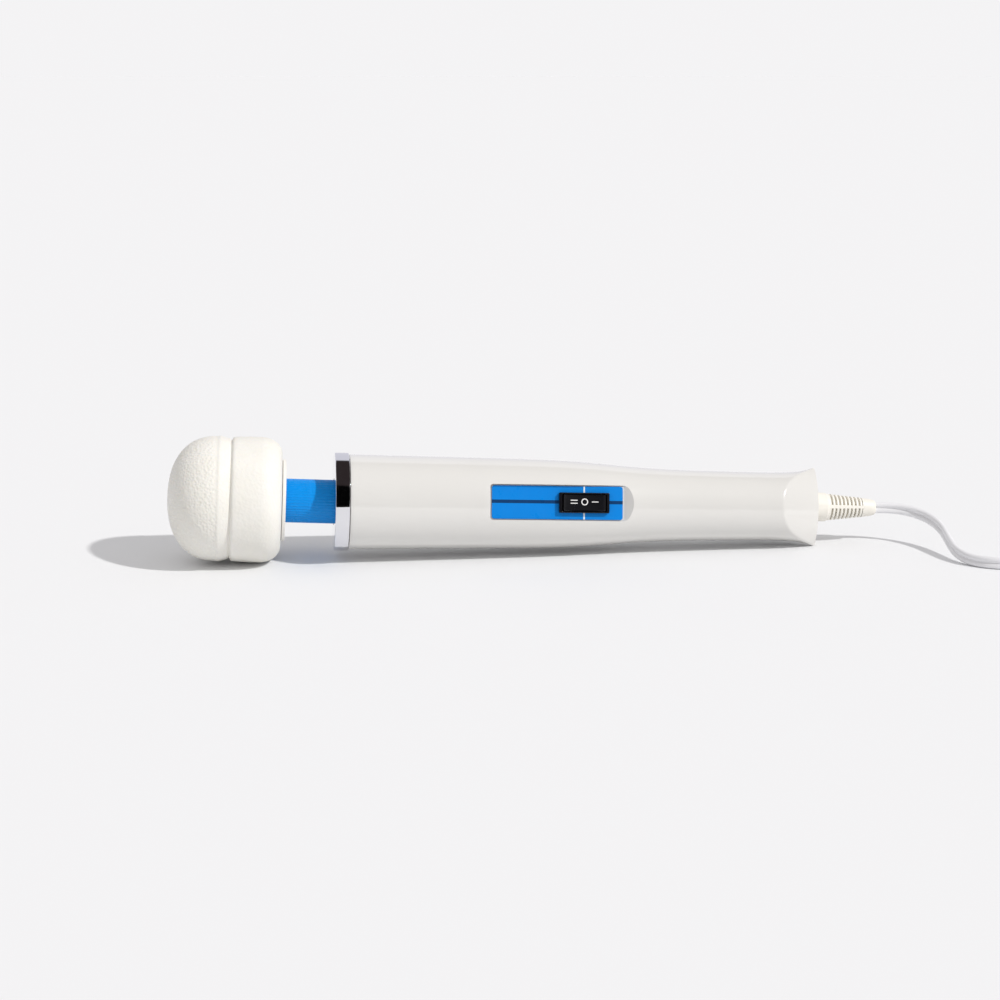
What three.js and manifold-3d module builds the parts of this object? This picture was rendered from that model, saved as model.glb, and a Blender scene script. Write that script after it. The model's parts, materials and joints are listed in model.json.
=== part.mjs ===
// A corded wand massager lying on a flat surface: a soft round head on a flexible neck, driven by a
// motor in a tapered handle, with a three-position rocker switch and a flat mains lead.
// Units are millimetres and +Z is up. Stations along the wand are measured from the head's tip.
import * as THREE from "three";
import { mergeVertices } from "three/addons/utils/BufferGeometryUtils.js";
import Module from "manifold-3d";

const wasm = await Module();
wasm.setup();

// ---------------------------------------------------------------- driving dimensions
const GAP = 0.3; // clearance between pieces that touch on the real object

// Pose on the surface.
const HANDLE_TILT = 2.27; // degrees, head end up
const NECK_SAG = 1.0; // degrees that the head's axis rises above the handle's
const ROLL = 15; // degrees that the switch side is turned up

// Head.
const HEAD_LENGTH = 52.7;
const DOME_RADIUS = 28;
const DOME_DEPTH = 17;
const DOME_POWER = 2.2; // of the superellipse that rounds the dome
const HEAD_REAR_RADIUS = 29.3;
const GROOVE_STATION = 29.1;
const CAP_WALL = 4.2;
const CAP_MOUTH_RADIUS = 15.2;
const CORE_RADIUS = 24.6;
const CORE_SPLIT = 30;
const CORE_REAR = 49.2;
const WEIGHT_CHAMBER_RADIUS = 18.6;
const WEIGHT_CHAMBER = [17.5, 37.5];
const WEIGHT_RADIUS = 17;
const HUB_RADIUS = 19.3;
const HUB_REAR = 54.6;

// Neck.
const SLEEVE_RADIUS = 10.3;
const SLEEVE_BORE = 8.6;
const SLEEVE = [52.9, 80.5];
const PITCH_STATION = 71.7; // the rear of the two places where the neck bends
const SPRING_RADIUS = 6.9; // middle of the wire
const SPRING_WIRE = 1.1;
const SPRING = [49, 93];
const SPRING_TURNS = 9;
const SPRING_SEAT = 8.4;

// Handle.
const RING_FRONT = 77.4;
const RING_RADIUS = 23.15;
const SHELL_FRONT = 84.3;
const SHELL_REAR = 311;
const SHELL_WALL = 2.2;
const FRONT_RADIUS = 22.4;
const TAPER = 0.012; // radius lost per millimetre
const WAIST_STATION = 210;
const WAIST_STEP = 3.6;
const WAIST_LENGTH = 12;
const FLARE = 3.4;
const FLARE_LENGTH = 7;
const CAVITY_REAR = 286;
const FACET_START = 291;
const FACET_SLOPE = 25.6; // degrees
const FACET_CROWN = 31; // radius of the crown across each end facet

// Recess, label and switch, in a frame that lies in the recess floor.
const RECESS = [148.1, 212.3];
const RECESS_RAMP = 2.1; // length of the ramp for each millimetre that it rises
const RECESS_TILT = 1.5; // degrees, to follow the taper
const RECESS_HALF_HEIGHT = 8.5;
const RECESS_DEPTH = 16.6; // from the axis to the recess floor at the switch
const SWITCH_STATION = 193.9;
const LABEL = { from: 149.5, to: 211.9, height: 16.3, thick: 0.5, corner: 1.2 };
const BEZEL = { length: 24, height: 9.5, proud: 1.9, inside: [21.2, 8.3] };
const ROCKER = { length: 20, height: 7.7, pivot: -0.6, top: 2.6 };

// Strain relief and lead.
const RELIEF_LENGTH = 30;
const RELIEF_RADIUS = 7;
const RELIEF_SEAT = 1.2; // how deep its collar sits in the end of the handle
const RELIEF_SLOTS = 9;
const RELIEF_PITCH = 2;
const CORD_WIDTH = 5.6;
const CORD_THICK = 2.8;
// The coil of spare lead is four turns wide and two high, and a tie holds it.
const COIL = { x: 284, y: -22.6, inside: 26.3, outside: 39.1, height: 11.6 };
const TIE = { width: 9, thick: 0.9 };
const PLUG = { rear: 314, front: 340, width: 22, height: 13.2, corner: 3 };
const BLADE = { spacing: 12.7, width: 6.35, thick: 1.5, length: 16 };

const FACETS = 28; // sides of the large round pieces
const radians = THREE.MathUtils.degToRad;

// ---------------------------------------------------------------- shape helpers
const point = (a, b) => new THREE.Vector2(a, b);

// The geometry as a manifold-3d solid, facing out.
function solidOf(geometry) {
  const bare = new THREE.BufferGeometry();
  const source = geometry.index ? geometry.toNonIndexed() : geometry;
  bare.setAttribute("position", source.getAttribute("position"));
  const merged = mergeVertices(bare, 1e-4);
  const corners = merged.index.array;
  const kept = [];
  for (let i = 0; i < corners.length; i += 3) {
    const [a, b, c] = [corners[i], corners[i + 1], corners[i + 2]];
    if (a !== b && b !== c && a !== c) kept.push(a, b, c);
  }
  const build = (triangles) =>
    new wasm.Manifold(
      new wasm.Mesh({
        numProp: 3,
        vertProperties: merged.attributes.position.array,
        triVerts: new Uint32Array(triangles),
      }),
    );
  const made = build(kept);
  return made.volume() < 0 ? build(kept.reverse()) : made;
}

function geometryOf(solid) {
  const mesh = solid.getMesh();
  const geometry = new THREE.BufferGeometry();
  geometry.setAttribute("position", new THREE.BufferAttribute(mesh.vertProperties, 3));
  geometry.setIndex(new THREE.BufferAttribute(mesh.triVerts, 1));
  return geometry;
}

const join = (first, ...rest) =>
  geometryOf(rest.reduce((all, next) => all.add(solidOf(next)), solidOf(first)));

const cut = (first, ...rest) =>
  geometryOf(rest.reduce((all, next) => all.subtract(solidOf(next)), solidOf(first)));

const common = (first, second) => geometryOf(solidOf(first).intersect(solidOf(second)));

// A solid of revolution about X from [station, radius] pairs. A profile that doesn't start and end on
// the axis closes on itself.
function turned(profile, facets = FACETS) {
  const points = profile.map(([station, radius]) => point(radius, station));
  const closed = points[0].x > 0 || points[points.length - 1].x > 0;
  if (closed) points.push(points[0].clone());
  return new THREE.LatheGeometry(points, facets).rotateZ(-Math.PI / 2);
}

// A plain disc, rod or ring about X.
function disc([from, to], radius, facets = 20) {
  return turned([[from, 0], [from, radius], [to, radius], [to, 0]], facets);
}

function ring([from, to], radius, bore, facets = 20) {
  return turned([[from, bore], [from, radius], [to, radius], [to, bore]], facets);
}

// A box from its low corner to its high corner.
function block([x0, y0, z0], [x1, y1, z1]) {
  return new THREE.BoxGeometry(x1 - x0, y1 - y0, z1 - z0).translate(
    (x0 + x1) / 2,
    (y0 + y1) / 2,
    (z0 + z1) / 2,
  );
}

// A rod along Y through (x, z).
function pin(x, z, [from, to], radius, facets = 12) {
  return new THREE.CylinderGeometry(radius, radius, to - from, facets).translate(
    x,
    (from + to) / 2,
    z,
  );
}

function roundedRectangle(width, height, corner) {
  const [x, y] = [width / 2, height / 2];
  const shape = new THREE.Shape();
  shape.moveTo(corner - x, -y);
  shape.absarc(x - corner, corner - y, corner, -Math.PI / 2, 0, false);
  shape.absarc(x - corner, y - corner, corner, 0, Math.PI / 2, false);
  shape.absarc(corner - x, y - corner, corner, Math.PI / 2, Math.PI, false);
  shape.absarc(corner - x, corner - y, corner, Math.PI, 1.5 * Math.PI, false);
  return shape;
}

// A shape in XY, made solid along Z between two heights.
function slab(shape, [low, high], curveSegments = 3) {
  const depth = high - low;
  const options = { depth, bevelEnabled: false, curveSegments };
  return new THREE.ExtrudeGeometry(shape, options).translate(0, 0, low);
}

function polygon(pairs) {
  return new THREE.Shape(pairs.map(([a, b]) => point(a, b)));
}

function oval(halfWidth, halfHeight, sides) {
  return polygon(
    Array.from({ length: sides }, (_, i) => {
      const angle = (2 * Math.PI * (i + 0.5)) / sides;
      return [halfWidth * Math.cos(angle), halfHeight * Math.sin(angle)];
    }),
  );
}

// A tube of the given section along a smooth curve through the points.
function tube(points, section, steps) {
  const curve = new THREE.CatmullRomCurve3(points.map((p) => new THREE.Vector3(...p)));
  return new THREE.ExtrudeGeometry(section, { steps, extrudePath: curve, bevelEnabled: false });
}

// ---------------------------------------------------------------- materials
function finish(color, roughness, metalness = 0) {
  return new THREE.MeshStandardMaterial({ color, roughness, metalness });
}

const MATERIALS = {
  softCap: finish(0xf1eee4, 0.62),
  shell: finish(0xefedea, 0.22),
  core: finish(0xdedcd6, 0.5),
  blueSleeve: finish(0x0b84dc, 0.3),
  chrome: finish(0xd8d8dc, 0.06, 1),
  label: finish(0x0a86e0, 0.3),
  black: finish(0x0b0b0d, 0.35),
  relief: finish(0xf1ece0, 0.45),
  cord: finish(0xd9d9dc, 0.3),
  steel: finish(0x9fa2a6, 0.35, 1),
  lamination: finish(0x6f7175, 0.5, 1),
  copper: finish(0xb46a3a, 0.35, 1),
  brass: finish(0xc6a35a, 0.3, 1),
  carbon: finish(0x232326, 0.8),
  rubber: finish(0x2a2a2c, 0.85),
  nylon: finish(0xcfcabc, 0.5),
  wireRed: finish(0xb3322c, 0.45),
  wireBlack: finish(0x1d1d20, 0.45),
  wireWhite: finish(0xe8e6e0, 0.45),
};

// ---------------------------------------------------------------- groups
const massager = new THREE.Group();
const wand = new THREE.Group();
const front = new THREE.Group(); // neck and head, bent up at the pitch station
const handle = new THREE.Group();
const lead = new THREE.Group();
massager.add(wand, lead);
wand.add(front, handle);
wand.rotation.y = radians(HANDLE_TILT);
handle.rotation.x = -radians(ROLL);

// The front group turns about the pitch station and keeps the same stations.
front.rotation.y = radians(NECK_SAG);
front.position.set(PITCH_STATION, 0, 0);
front.position.sub(new THREE.Vector3(PITCH_STATION, 0, 0).applyEuler(front.rotation));

function piece(group, name, geometry, material) {
  const mesh = new THREE.Mesh(geometry, material);
  mesh.name = name;
  group.add(mesh);
  return mesh;
}

// ---------------------------------------------------------------- head
// Half-angle steps of the dome's superellipse, from the tip to its widest ring.
function domeProfile(radius, depth, start, steps) {
  return Array.from({ length: steps + 1 }, (_, i) => {
    const angle = (Math.PI / 2) * (i / steps);
    const along = Math.cos(angle) ** (2 / DOME_POWER);
    const across = Math.sin(angle) ** (2 / DOME_POWER);
    return [start + depth * (1 - along), radius * across];
  });
}

function makeHeadCap() {
  const corner = 5.2;
  const rear = Array.from({ length: 4 }, (_, i) => {
    const angle = (Math.PI / 2) * (i / 3);
    return [
      HEAD_LENGTH - corner + corner * Math.sin(angle),
      HEAD_REAR_RADIUS - corner + corner * Math.cos(angle),
    ];
  });
  const outside = [
    ...domeProfile(DOME_RADIUS, DOME_DEPTH, 0, 9),
    [GROOVE_STATION - 3.4, 28.6],
    [GROOVE_STATION - 0.9, 28.9],
    [GROOVE_STATION, 27.7],
    [GROOVE_STATION + 0.9, 29.3],
    [GROOVE_STATION + 3.4, HEAD_REAR_RADIUS],
    ...rear,
    [HEAD_LENGTH, CAP_MOUTH_RADIUS],
  ];
  const inside = [
    [CORE_REAR + GAP, CAP_MOUTH_RADIUS],
    [CORE_REAR + GAP, CORE_RADIUS + GAP],
    ...domeProfile(CORE_RADIUS + GAP, DOME_DEPTH - CAP_WALL + 2, CAP_WALL, 5).reverse(),
  ];
  piece(front, "head_cap", turned([...outside, ...inside]), MATERIALS.softCap);
}

const CORE_SCREW_CIRCLE = 21.6;
const CORE_SCREW = { shank: 1.3, head: 2.2, seat: 46.2 };
const BEARING = { radius: 8, bore: 2.85, width: 5 };
const BEARING_FRONT = 11.5;
const BEARING_REAR = 39;

// Three places around the axis, each as a turn about X.
const thirds = [0, 1, 2].map((i) => (2 * Math.PI * i) / 3);

function rodAlong([from, to], radius, offset, angle, facets = 10) {
  return disc([from, to], radius, facets).translate(0, 0, offset).rotateX(angle);
}

function makeHeadCore() {
  const nose = domeProfile(CORE_RADIUS, DOME_DEPTH - CAP_WALL + 2, CAP_WALL + GAP, 5);
  const [chamberFrom, chamberTo] = WEIGHT_CHAMBER;
  const seatRadius = BEARING.radius + GAP;
  const shaftHole = 4;
  const shellFront = turned([
    ...nose,
    [CORE_SPLIT, CORE_RADIUS],
    [CORE_SPLIT, WEIGHT_CHAMBER_RADIUS],
    [chamberFrom, WEIGHT_CHAMBER_RADIUS],
    [chamberFrom, seatRadius],
    [BEARING_FRONT - GAP, seatRadius],
    [BEARING_FRONT - GAP, shaftHole],
    [BEARING_FRONT - 2.5, shaftHole],
    [BEARING_FRONT - 2.5, 0],
  ]);
  const pilots = thirds.map((angle) =>
    rodAlong([24, CORE_SPLIT + 1], CORE_SCREW.shank + GAP, CORE_SCREW_CIRCLE, angle),
  );
  piece(front, "head_core_front", cut(shellFront, ...pilots), MATERIALS.core);

  const shellRear = turned([
    [CORE_SPLIT + GAP, WEIGHT_CHAMBER_RADIUS],
    [CORE_SPLIT + GAP, CORE_RADIUS],
    [CORE_REAR, CORE_RADIUS],
    [CORE_REAR, 14],
    [BEARING_REAR + BEARING.width + 2, 14],
    [BEARING_REAR + BEARING.width + 2, 6.4],
    [BEARING_REAR + BEARING.width + GAP, 6.4],
    [BEARING_REAR + BEARING.width + GAP, seatRadius],
    [chamberTo, seatRadius],
    [chamberTo, WEIGHT_CHAMBER_RADIUS],
  ]);
  const holes = thirds.flatMap((angle) => [
    rodAlong([CORE_SPLIT - 1, CORE_REAR + 1], CORE_SCREW.shank + GAP, CORE_SCREW_CIRCLE, angle),
    rodAlong([CORE_SCREW.seat, CORE_REAR + 1], CORE_SCREW.head + GAP, CORE_SCREW_CIRCLE, angle),
  ]);
  piece(front, "head_core_rear", cut(shellRear, ...holes), MATERIALS.core);

  thirds.forEach((angle, i) => {
    const { shank, head, seat } = CORE_SCREW;
    const screw = turned(
      [[25, 0], [25.8, shank], [seat + GAP, shank], [seat + GAP, head], [seat + 2.2, head], [seat + 2.2, 0]],
      8,
    );
    screw.translate(0, 0, CORE_SCREW_CIRCLE).rotateX(angle);
    piece(front, `core_screw_${i + 1}`, screw, MATERIALS.steel);
  });
}

function makeHeadDrive() {
  [["front", BEARING_FRONT], ["rear", BEARING_REAR]].forEach(([place, station]) => {
    const width = [station, station + BEARING.width];
    const shape = ring(width, BEARING.radius, BEARING.bore, 16);
    piece(front, `head_bearing_${place}`, shape, MATERIALS.steel);
  });
  piece(front, "head_shaft", disc([BEARING_FRONT - 2, 51], 2.4, 12), MATERIALS.steel);

  // A half disc that hangs below the shaft, with a full round boss.
  const [from, to] = [19, 36];
  const half = cut(disc([from, to], WEIGHT_RADIUS, 24), block([from - 1, -20, -1], [to + 1, 20, 20]));
  const weight = cut(join(half, disc([from, to], 6, 16)), disc([from - 1, to + 1], 2.4 + GAP, 12));
  piece(front, "eccentric_weight", weight, MATERIALS.brass);

  const hubBore = 2.4 + GAP;
  const coupling = turned(
    [[47, hubBore], [47, 4.6], [56, 4.6], [56, 0], [51 + GAP, 0], [51 + GAP, hubBore]],
    12,
  );
  piece(front, "head_coupling", coupling, MATERIALS.nylon);
}

// The disc behind the soft cap: its spigot sits in the rear core and holds the neck spring.
function makeNeckHub() {
  const hub = turned([
    [BEARING_REAR + BEARING.width + 2 + GAP, SPRING_SEAT],
    [BEARING_REAR + BEARING.width + 2 + GAP, 13.7],
    [HEAD_LENGTH + GAP, 13.7],
    [HEAD_LENGTH + GAP, HUB_RADIUS],
    [HUB_REAR, HUB_RADIUS],
    [HUB_REAR, SLEEVE_RADIUS + 1.5],
    [50.4, SLEEVE_RADIUS + 1.5],
    [50.4, SPRING_SEAT],
  ]);
  piece(front, "neck_hub", hub, MATERIALS.core);
}

// ---------------------------------------------------------------- neck
function makeNeck() {
  piece(front, "neck_sleeve", ring(SLEEVE, SLEEVE_RADIUS, SLEEVE_BORE, FACETS), MATERIALS.blueSleeve);

  const [from, to] = SPRING;
  const perTurn = 8;
  const count = SPRING_TURNS * perTurn;
  const coil = Array.from({ length: count + 1 }, (_, i) => {
    const angle = (2 * Math.PI * i) / perTurn;
    return [
      from + ((to - from) * i) / count,
      SPRING_RADIUS * Math.cos(angle),
      SPRING_RADIUS * Math.sin(angle),
    ];
  });
  const wire = tube(coil, oval(SPRING_WIRE, SPRING_WIRE, 5), count);
  piece(front, "neck_spring", wire, MATERIALS.steel);
  piece(front, "flexible_drive_shaft", disc([56 + GAP, 96], 1.9, 10), MATERIALS.steel);
}

// ---------------------------------------------------------------- handle shells
function shellRadius(station) {
  const waist = WAIST_STEP / (1 + Math.exp((WAIST_STATION - station) / WAIST_LENGTH));
  const flare = FLARE * Math.exp((station - SHELL_REAR) / FLARE_LENGTH);
  return FRONT_RADIUS - TAPER * (station - SHELL_FRONT) - waist + flare;
}

const SHELL_STATIONS = [
  SHELL_FRONT, 120, 160, 185, 200, 215, 230, 250, CAVITY_REAR, 298, 303, 307, SHELL_REAR,
];

// The frame of the recess floor: X along the handle, Z out of the recess.
const recess = new THREE.Group();
recess.position.set(SWITCH_STATION, -RECESS_DEPTH, 0);
recess.rotation.set(Math.PI / 2, 0, radians(RECESS_TILT), "ZYX");
recess.updateMatrix();
handle.add(recess);

const inRecess = (geometry) => geometry.applyMatrix4(recess.matrix);

// What the two flat end facets take off: everything outside a crowned, sloping face.
function facetCutter(side) {
  const reach = 60;
  const crown = new THREE.CylinderGeometry(FACET_CROWN, FACET_CROWN, 3 * reach, 48);
  crown.rotateZ(Math.PI / 2).translate(0, side * -FACET_CROWN, 0);
  const wide = block([-reach, -reach, -reach], [reach, reach, reach]);
  const cutter = cut(wide, crown);
  cutter.rotateZ(-side * radians(FACET_SLOPE));
  const startRadius = shellRadius(FACET_START);
  cutter.translate(FACET_START, side * startRadius, 0);
  return common(cutter, block([FACET_START - 8, -reach, -reach], [FACET_START + reach, reach, reach]));
}

function wholeShell() {
  const inner = SHELL_STATIONS.filter((s) => s > SHELL_FRONT && s <= CAVITY_REAR).reverse();
  const spigot = { from: 79.9, radius: 20.2, bore: 17.9 };
  const body = turned([
    [SHELL_FRONT, spigot.radius],
    ...SHELL_STATIONS.map((s) => [s, shellRadius(s)]),
    [SHELL_REAR, 0],
    [CAVITY_REAR, 0],
    ...inner.map((s) => [s, shellRadius(s) - SHELL_WALL]),
    [SHELL_FRONT + 14, shellRadius(SHELL_FRONT) - SHELL_WALL],
    [SHELL_FRONT + 14, spigot.bore],
    [spigot.from, spigot.bore],
    [spigot.from, spigot.radius],
  ]);
  const tail = block([CAVITY_REAR - 1, -4.2, -9.5], [303.6, 4.2, 9.5]);
  const mouth = disc([303, SHELL_REAR + 1], 4.4, 16);
  const collarSeat = disc([SHELL_REAR - RELIEF_SEAT, SHELL_REAR + 1], RELIEF_RADIUS + GAP, 24);
  return cut(body, tail, mouth, collarSeat, facetCutter(1), facetCutter(-1));
}

// Places of the screws that close the shells: [station, height].
const SHELL_SCREWS = [[101.6, 12.3], [101.6, -12.3], [232, 8.6], [232, -8.6]];
const SHELL_SCREW = { shank: 1.5, head: 2.7, seat: 7 };

function makeShells() {
  const far = 40;
  const seam = 0.15;
  const shell = wholeShell();
  const frontHalf = cut(shell, block([0, -seam, -far], [400, far, far]));
  const rearHalf = cut(shell, block([0, -far, -far], [400, seam, far]));
  const hole = SHELL_SCREW.shank + GAP;

  // The recess has a steep wall at the head end and a ramp at the lead end.
  const [recessFrom, recessTo] = RECESS.map((s) => s - SWITCH_STATION);
  const reachOut = 12;
  const rampEnd = recessTo + reachOut * RECESS_RAMP;
  const slope = polygon([
    [recessFrom, 0],
    [recessTo, 0],
    [rampEnd, reachOut],
    [recessFrom, reachOut],
  ]);
  const recessCut = slab(slope, [-RECESS_HALF_HEIGHT, RECESS_HALF_HEIGHT]).rotateX(Math.PI / 2);
  const opening = block([-12.4, -4.9, -12], [12.4, 4.9, 1]);

  // The screw posts run into the wall, and stop half way through it.
  const middle = SHELL_STATIONS.map((s) => [s, shellRadius(s) - SHELL_WALL / 2]);
  const within = turned([[SHELL_FRONT, 0], ...middle, [SHELL_REAR, 0]]);
  const studs = SHELL_SCREWS.map(([x, z]) => common(pin(x, z, [-far, -seam], 3.4), within));
  const pilots = SHELL_SCREWS.map(([x, z]) => pin(x, z, [-9, 1], hole));
  const trayWall = 1.6;
  const trayHalf = RECESS_HALF_HEIGHT + trayWall;
  const trayBox = block([recessFrom - trayWall, -trayHalf, -trayWall], [recessTo + 12, trayHalf, reachOut]);
  const tray = common(inRecess(trayBox), within);
  const whole = join(frontHalf, tray, ...studs);
  const frontShell = cut(whole, ...pilots, inRecess(recessCut), inRecess(opening));
  piece(handle, "front_shell", frontShell, MATERIALS.shell);

  const sockets = SHELL_SCREWS.map(([x, z]) => common(pin(x, z, [seam, far], 4.2), within));
  const bores = SHELL_SCREWS.flatMap(([x, z]) => [
    pin(x, z, [-1, far], hole),
    pin(x, z, [SHELL_SCREW.seat, far], SHELL_SCREW.head + GAP),
  ]);
  piece(handle, "rear_shell", cut(join(rearHalf, ...sockets), ...bores), MATERIALS.shell);

  SHELL_SCREWS.forEach(([x, z], i) => {
    const { shank, head, seat } = SHELL_SCREW;
    const shape = join(
      pin(x, z, [-8, seat + 1], shank, 8),
      pin(x, z, [seat + GAP, seat + 2.3], head, 12),
    );
    piece(handle, `shell_screw_${i + 1}`, shape, MATERIALS.steel);
  });
}

function makeChromeRing() {
  const shape = turned([
    [RING_FRONT, SLEEVE_RADIUS + 1.9],
    [RING_FRONT, RING_RADIUS - 0.8],
    [RING_FRONT + 0.8, RING_RADIUS],
    [SHELL_FRONT - 0.7, RING_RADIUS],
    [SHELL_FRONT - GAP, RING_RADIUS - 0.5],
    [SHELL_FRONT - GAP, 20.5],
    [RING_FRONT + 2.2, 20.5],
    [RING_FRONT + 2.2, SLEEVE_RADIUS + 1.9],
  ]);
  piece(handle, "chrome_ring", shape, MATERIALS.chrome);
}

// Holds the rear end of the neck spring in the front of the handle.
function makeNeckSocket() {
  const shape = turned([
    [80, SLEEVE_RADIUS + 2.3],
    [80, 17.5],
    [96.5, 17.5],
    [96.5, 3],
    [94, 3],
    [94, SPRING_SEAT],
    [84, SPRING_SEAT],
    [84, SLEEVE_RADIUS + 2.3],
  ]);
  piece(handle, "neck_socket", shape, MATERIALS.nylon);
}

// ---------------------------------------------------------------- motor
const STACK = [114, 134];
const MOTOR_RADIUS = 18.8;
const FIELD_BORE = 11;

function makeMotor() {
  const [from, to] = STACK;
  const legs = { y: 7.5, z: 12.8, half: 2.3 };

  const pockets = [1, -1].flatMap((a) =>
    [1, -1].map((b) =>
      block(
        [from - 1, a * legs.y - legs.half, b * legs.z - legs.half],
        [to + 1, a * legs.y + legs.half, b * legs.z + legs.half],
      ),
    ),
  );
  const field = cut(ring(STACK, MOTOR_RADIUS, FIELD_BORE, 24), ...pockets);
  piece(handle, "motor_field_core", field, MATERIALS.lamination);

  [["upper", 1], ["lower", -1]].forEach(([place, side]) => {
    const width = 2 * legs.half - 2 * GAP;
    const loop = roundedRectangle(to - from + 2 * width + 2, 2 * legs.y + width, 3);
    loop.holes.push(roundedRectangle(to - from + 2, 2 * legs.y - width, 1));
    const shape = slab(loop, [side * legs.z - width / 2, side * legs.z + width / 2], 2);
    shape.translate((from + to) / 2, 0, 0);
    piece(handle, `field_coil_${place}`, shape, MATERIALS.copper);
  });

  const bracketFront = turned([
    [105, 6.8],
    [105, 8.6],
    [106.4, 8.6],
    [106.4, MOTOR_RADIUS],
    [108.6, MOTOR_RADIUS],
    [108.6, 4],
    [107.6, 4],
    [107.6, 6.8],
  ], 24);
  piece(handle, "motor_front_bracket", bracketFront, MATERIALS.nylon);
  const bracketRear = turned([
    [151, 4],
    [151, MOTOR_RADIUS],
    [153.4, MOTOR_RADIUS],
    [153.4, 8.6],
    [158, 8.6],
    [158, 6.8],
    [152.2, 6.8],
    [152.2, 4],
  ], 24);
  // A flat on its rim clears the recess.
  const rimFlat = block([150, -20, -20], [154, 1 - RECESS_DEPTH, 20]);
  piece(handle, "motor_rear_bracket", cut(bracketRear, rimFlat), MATERIALS.nylon);

  piece(handle, "motor_bearing_front", ring([103.2, 107.3], 6.5, 2.85, 16), MATERIALS.steel);
  piece(handle, "motor_bearing_rear", ring([152.5, 157], 6.5, 2.85, 16), MATERIALS.steel);
}

// The turning part of the motor.
function makeRotor() {
  piece(handle, "motor_shaft", disc([98, 160], 2.4, 12), MATERIALS.steel);

  const teeth = 8;
  const outline = Array.from({ length: teeth }, (_, i) => i).flatMap((i) => {
    const middle = (2 * Math.PI * i) / teeth;
    const step = Math.PI / teeth;
    return [
      [6.2, middle - 0.42 * step],
      [10, middle - 0.8 * step],
      [10.2, middle],
      [10, middle + 0.8 * step],
      [6.2, middle + 0.42 * step],
    ].map(([r, angle]) => [r * Math.cos(angle), r * Math.sin(angle)]);
  });
  const star = slab(polygon(outline), STACK).rotateY(Math.PI / 2);
  piece(handle, "armature_core", cut(star, disc([100, 160], 2.4 + GAP, 12)), MATERIALS.lamination);

  const winding = (from, to) =>
    turned([[from, 3.2], [from, 7.4], [(from + to) / 2, 9], [to, 7.4], [to, 3.2]], 16);
  piece(handle, "armature_winding_front", winding(110, STACK[0] - GAP), MATERIALS.copper);
  piece(handle, "armature_winding_rear", winding(STACK[1] + GAP, 138.4), MATERIALS.copper);
  piece(handle, "commutator", ring([139.6, 147.6], 6.2, 2.4 + GAP, 16), MATERIALS.copper);

  const bore = 2.4 + GAP;
  const coupling = turned(
    [[96.9, 0], [96.9, 4.6], [102.6, 4.6], [102.6, bore], [97.7, bore], [97.7, 0]],
    12,
  );
  piece(handle, "motor_coupling", coupling, MATERIALS.nylon);
}

function makeBrushes() {
  const middle = 143.6;
  [["left", 1], ["right", -1]].forEach(([place, side]) => {
    const near = (y0, y1) => (side > 0 ? [y0, y1] : [-y1, -y0]);
    const bar = (half, [y0, y1]) => block([middle - half, y0, -half], [middle + half, y1, half]);
    piece(handle, `carbon_brush_${place}`, bar(2, near(6.8, 14)), MATERIALS.carbon);
    const holder = cut(bar(3, near(7.6, 16)), bar(2.3, near(7, 15)));
    piece(handle, `brush_holder_${place}`, holder, MATERIALS.brass);
  });
}

// ---------------------------------------------------------------- label and switch
function makeLabel() {
  const middle = (LABEL.from + LABEL.to) / 2 - SWITCH_STATION;
  const outline = roundedRectangle(LABEL.to - LABEL.from, LABEL.height, LABEL.corner);
  const plate = slab(outline, [GAP, GAP + LABEL.thick]).translate(middle, 0, 0);
  const hole = block([-11.7, -4.6, -1], [11.7, 4.6, 3]);
  piece(recess, "label_plate", cut(plate, hole), MATERIALS.label);
}

function makeSwitch() {
  const seat = GAP + LABEL.thick + GAP;
  const top = seat + BEZEL.proud;
  const [length, height] = BEZEL.inside;
  const flange = slab(roundedRectangle(BEZEL.length, BEZEL.height, 0.6), [seat, top]);
  const body = block([-11.4, -4.4, -11], [11.4, 4.4, seat + 0.5]);
  const well = block([-length / 2, -height / 2, -3.2], [length / 2, height / 2, top + 1]);
  piece(recess, "switch_body", cut(join(flange, body), well), MATERIALS.black);

  const half = ROCKER.length / 2;
  const profile = polygon([
    [-half, ROCKER.pivot - 0.4],
    [-4, ROCKER.pivot - 1.4],
    [4, ROCKER.pivot - 1.4],
    [half, ROCKER.pivot - 0.4],
    [half, ROCKER.top + 0.9],
    [half * 0.55, ROCKER.top + 0.25],
    [0, ROCKER.top],
    [-half * 0.55, ROCKER.top + 0.25],
    [-half, ROCKER.top + 0.9],
  ]);
  const bar = slab(profile, [-ROCKER.height / 2, ROCKER.height / 2]).rotateX(Math.PI / 2);
  piece(recess, "switch_rocker", bar, MATERIALS.black);

  [-7, 0, 7].forEach((x, i) => {
    const blade = block([x - 0.4, -2.4, -17], [x + 0.4, 2.4, -11 - GAP]);
    piece(recess, `switch_terminal_${i + 1}`, blade, MATERIALS.brass);
  });
}

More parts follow.
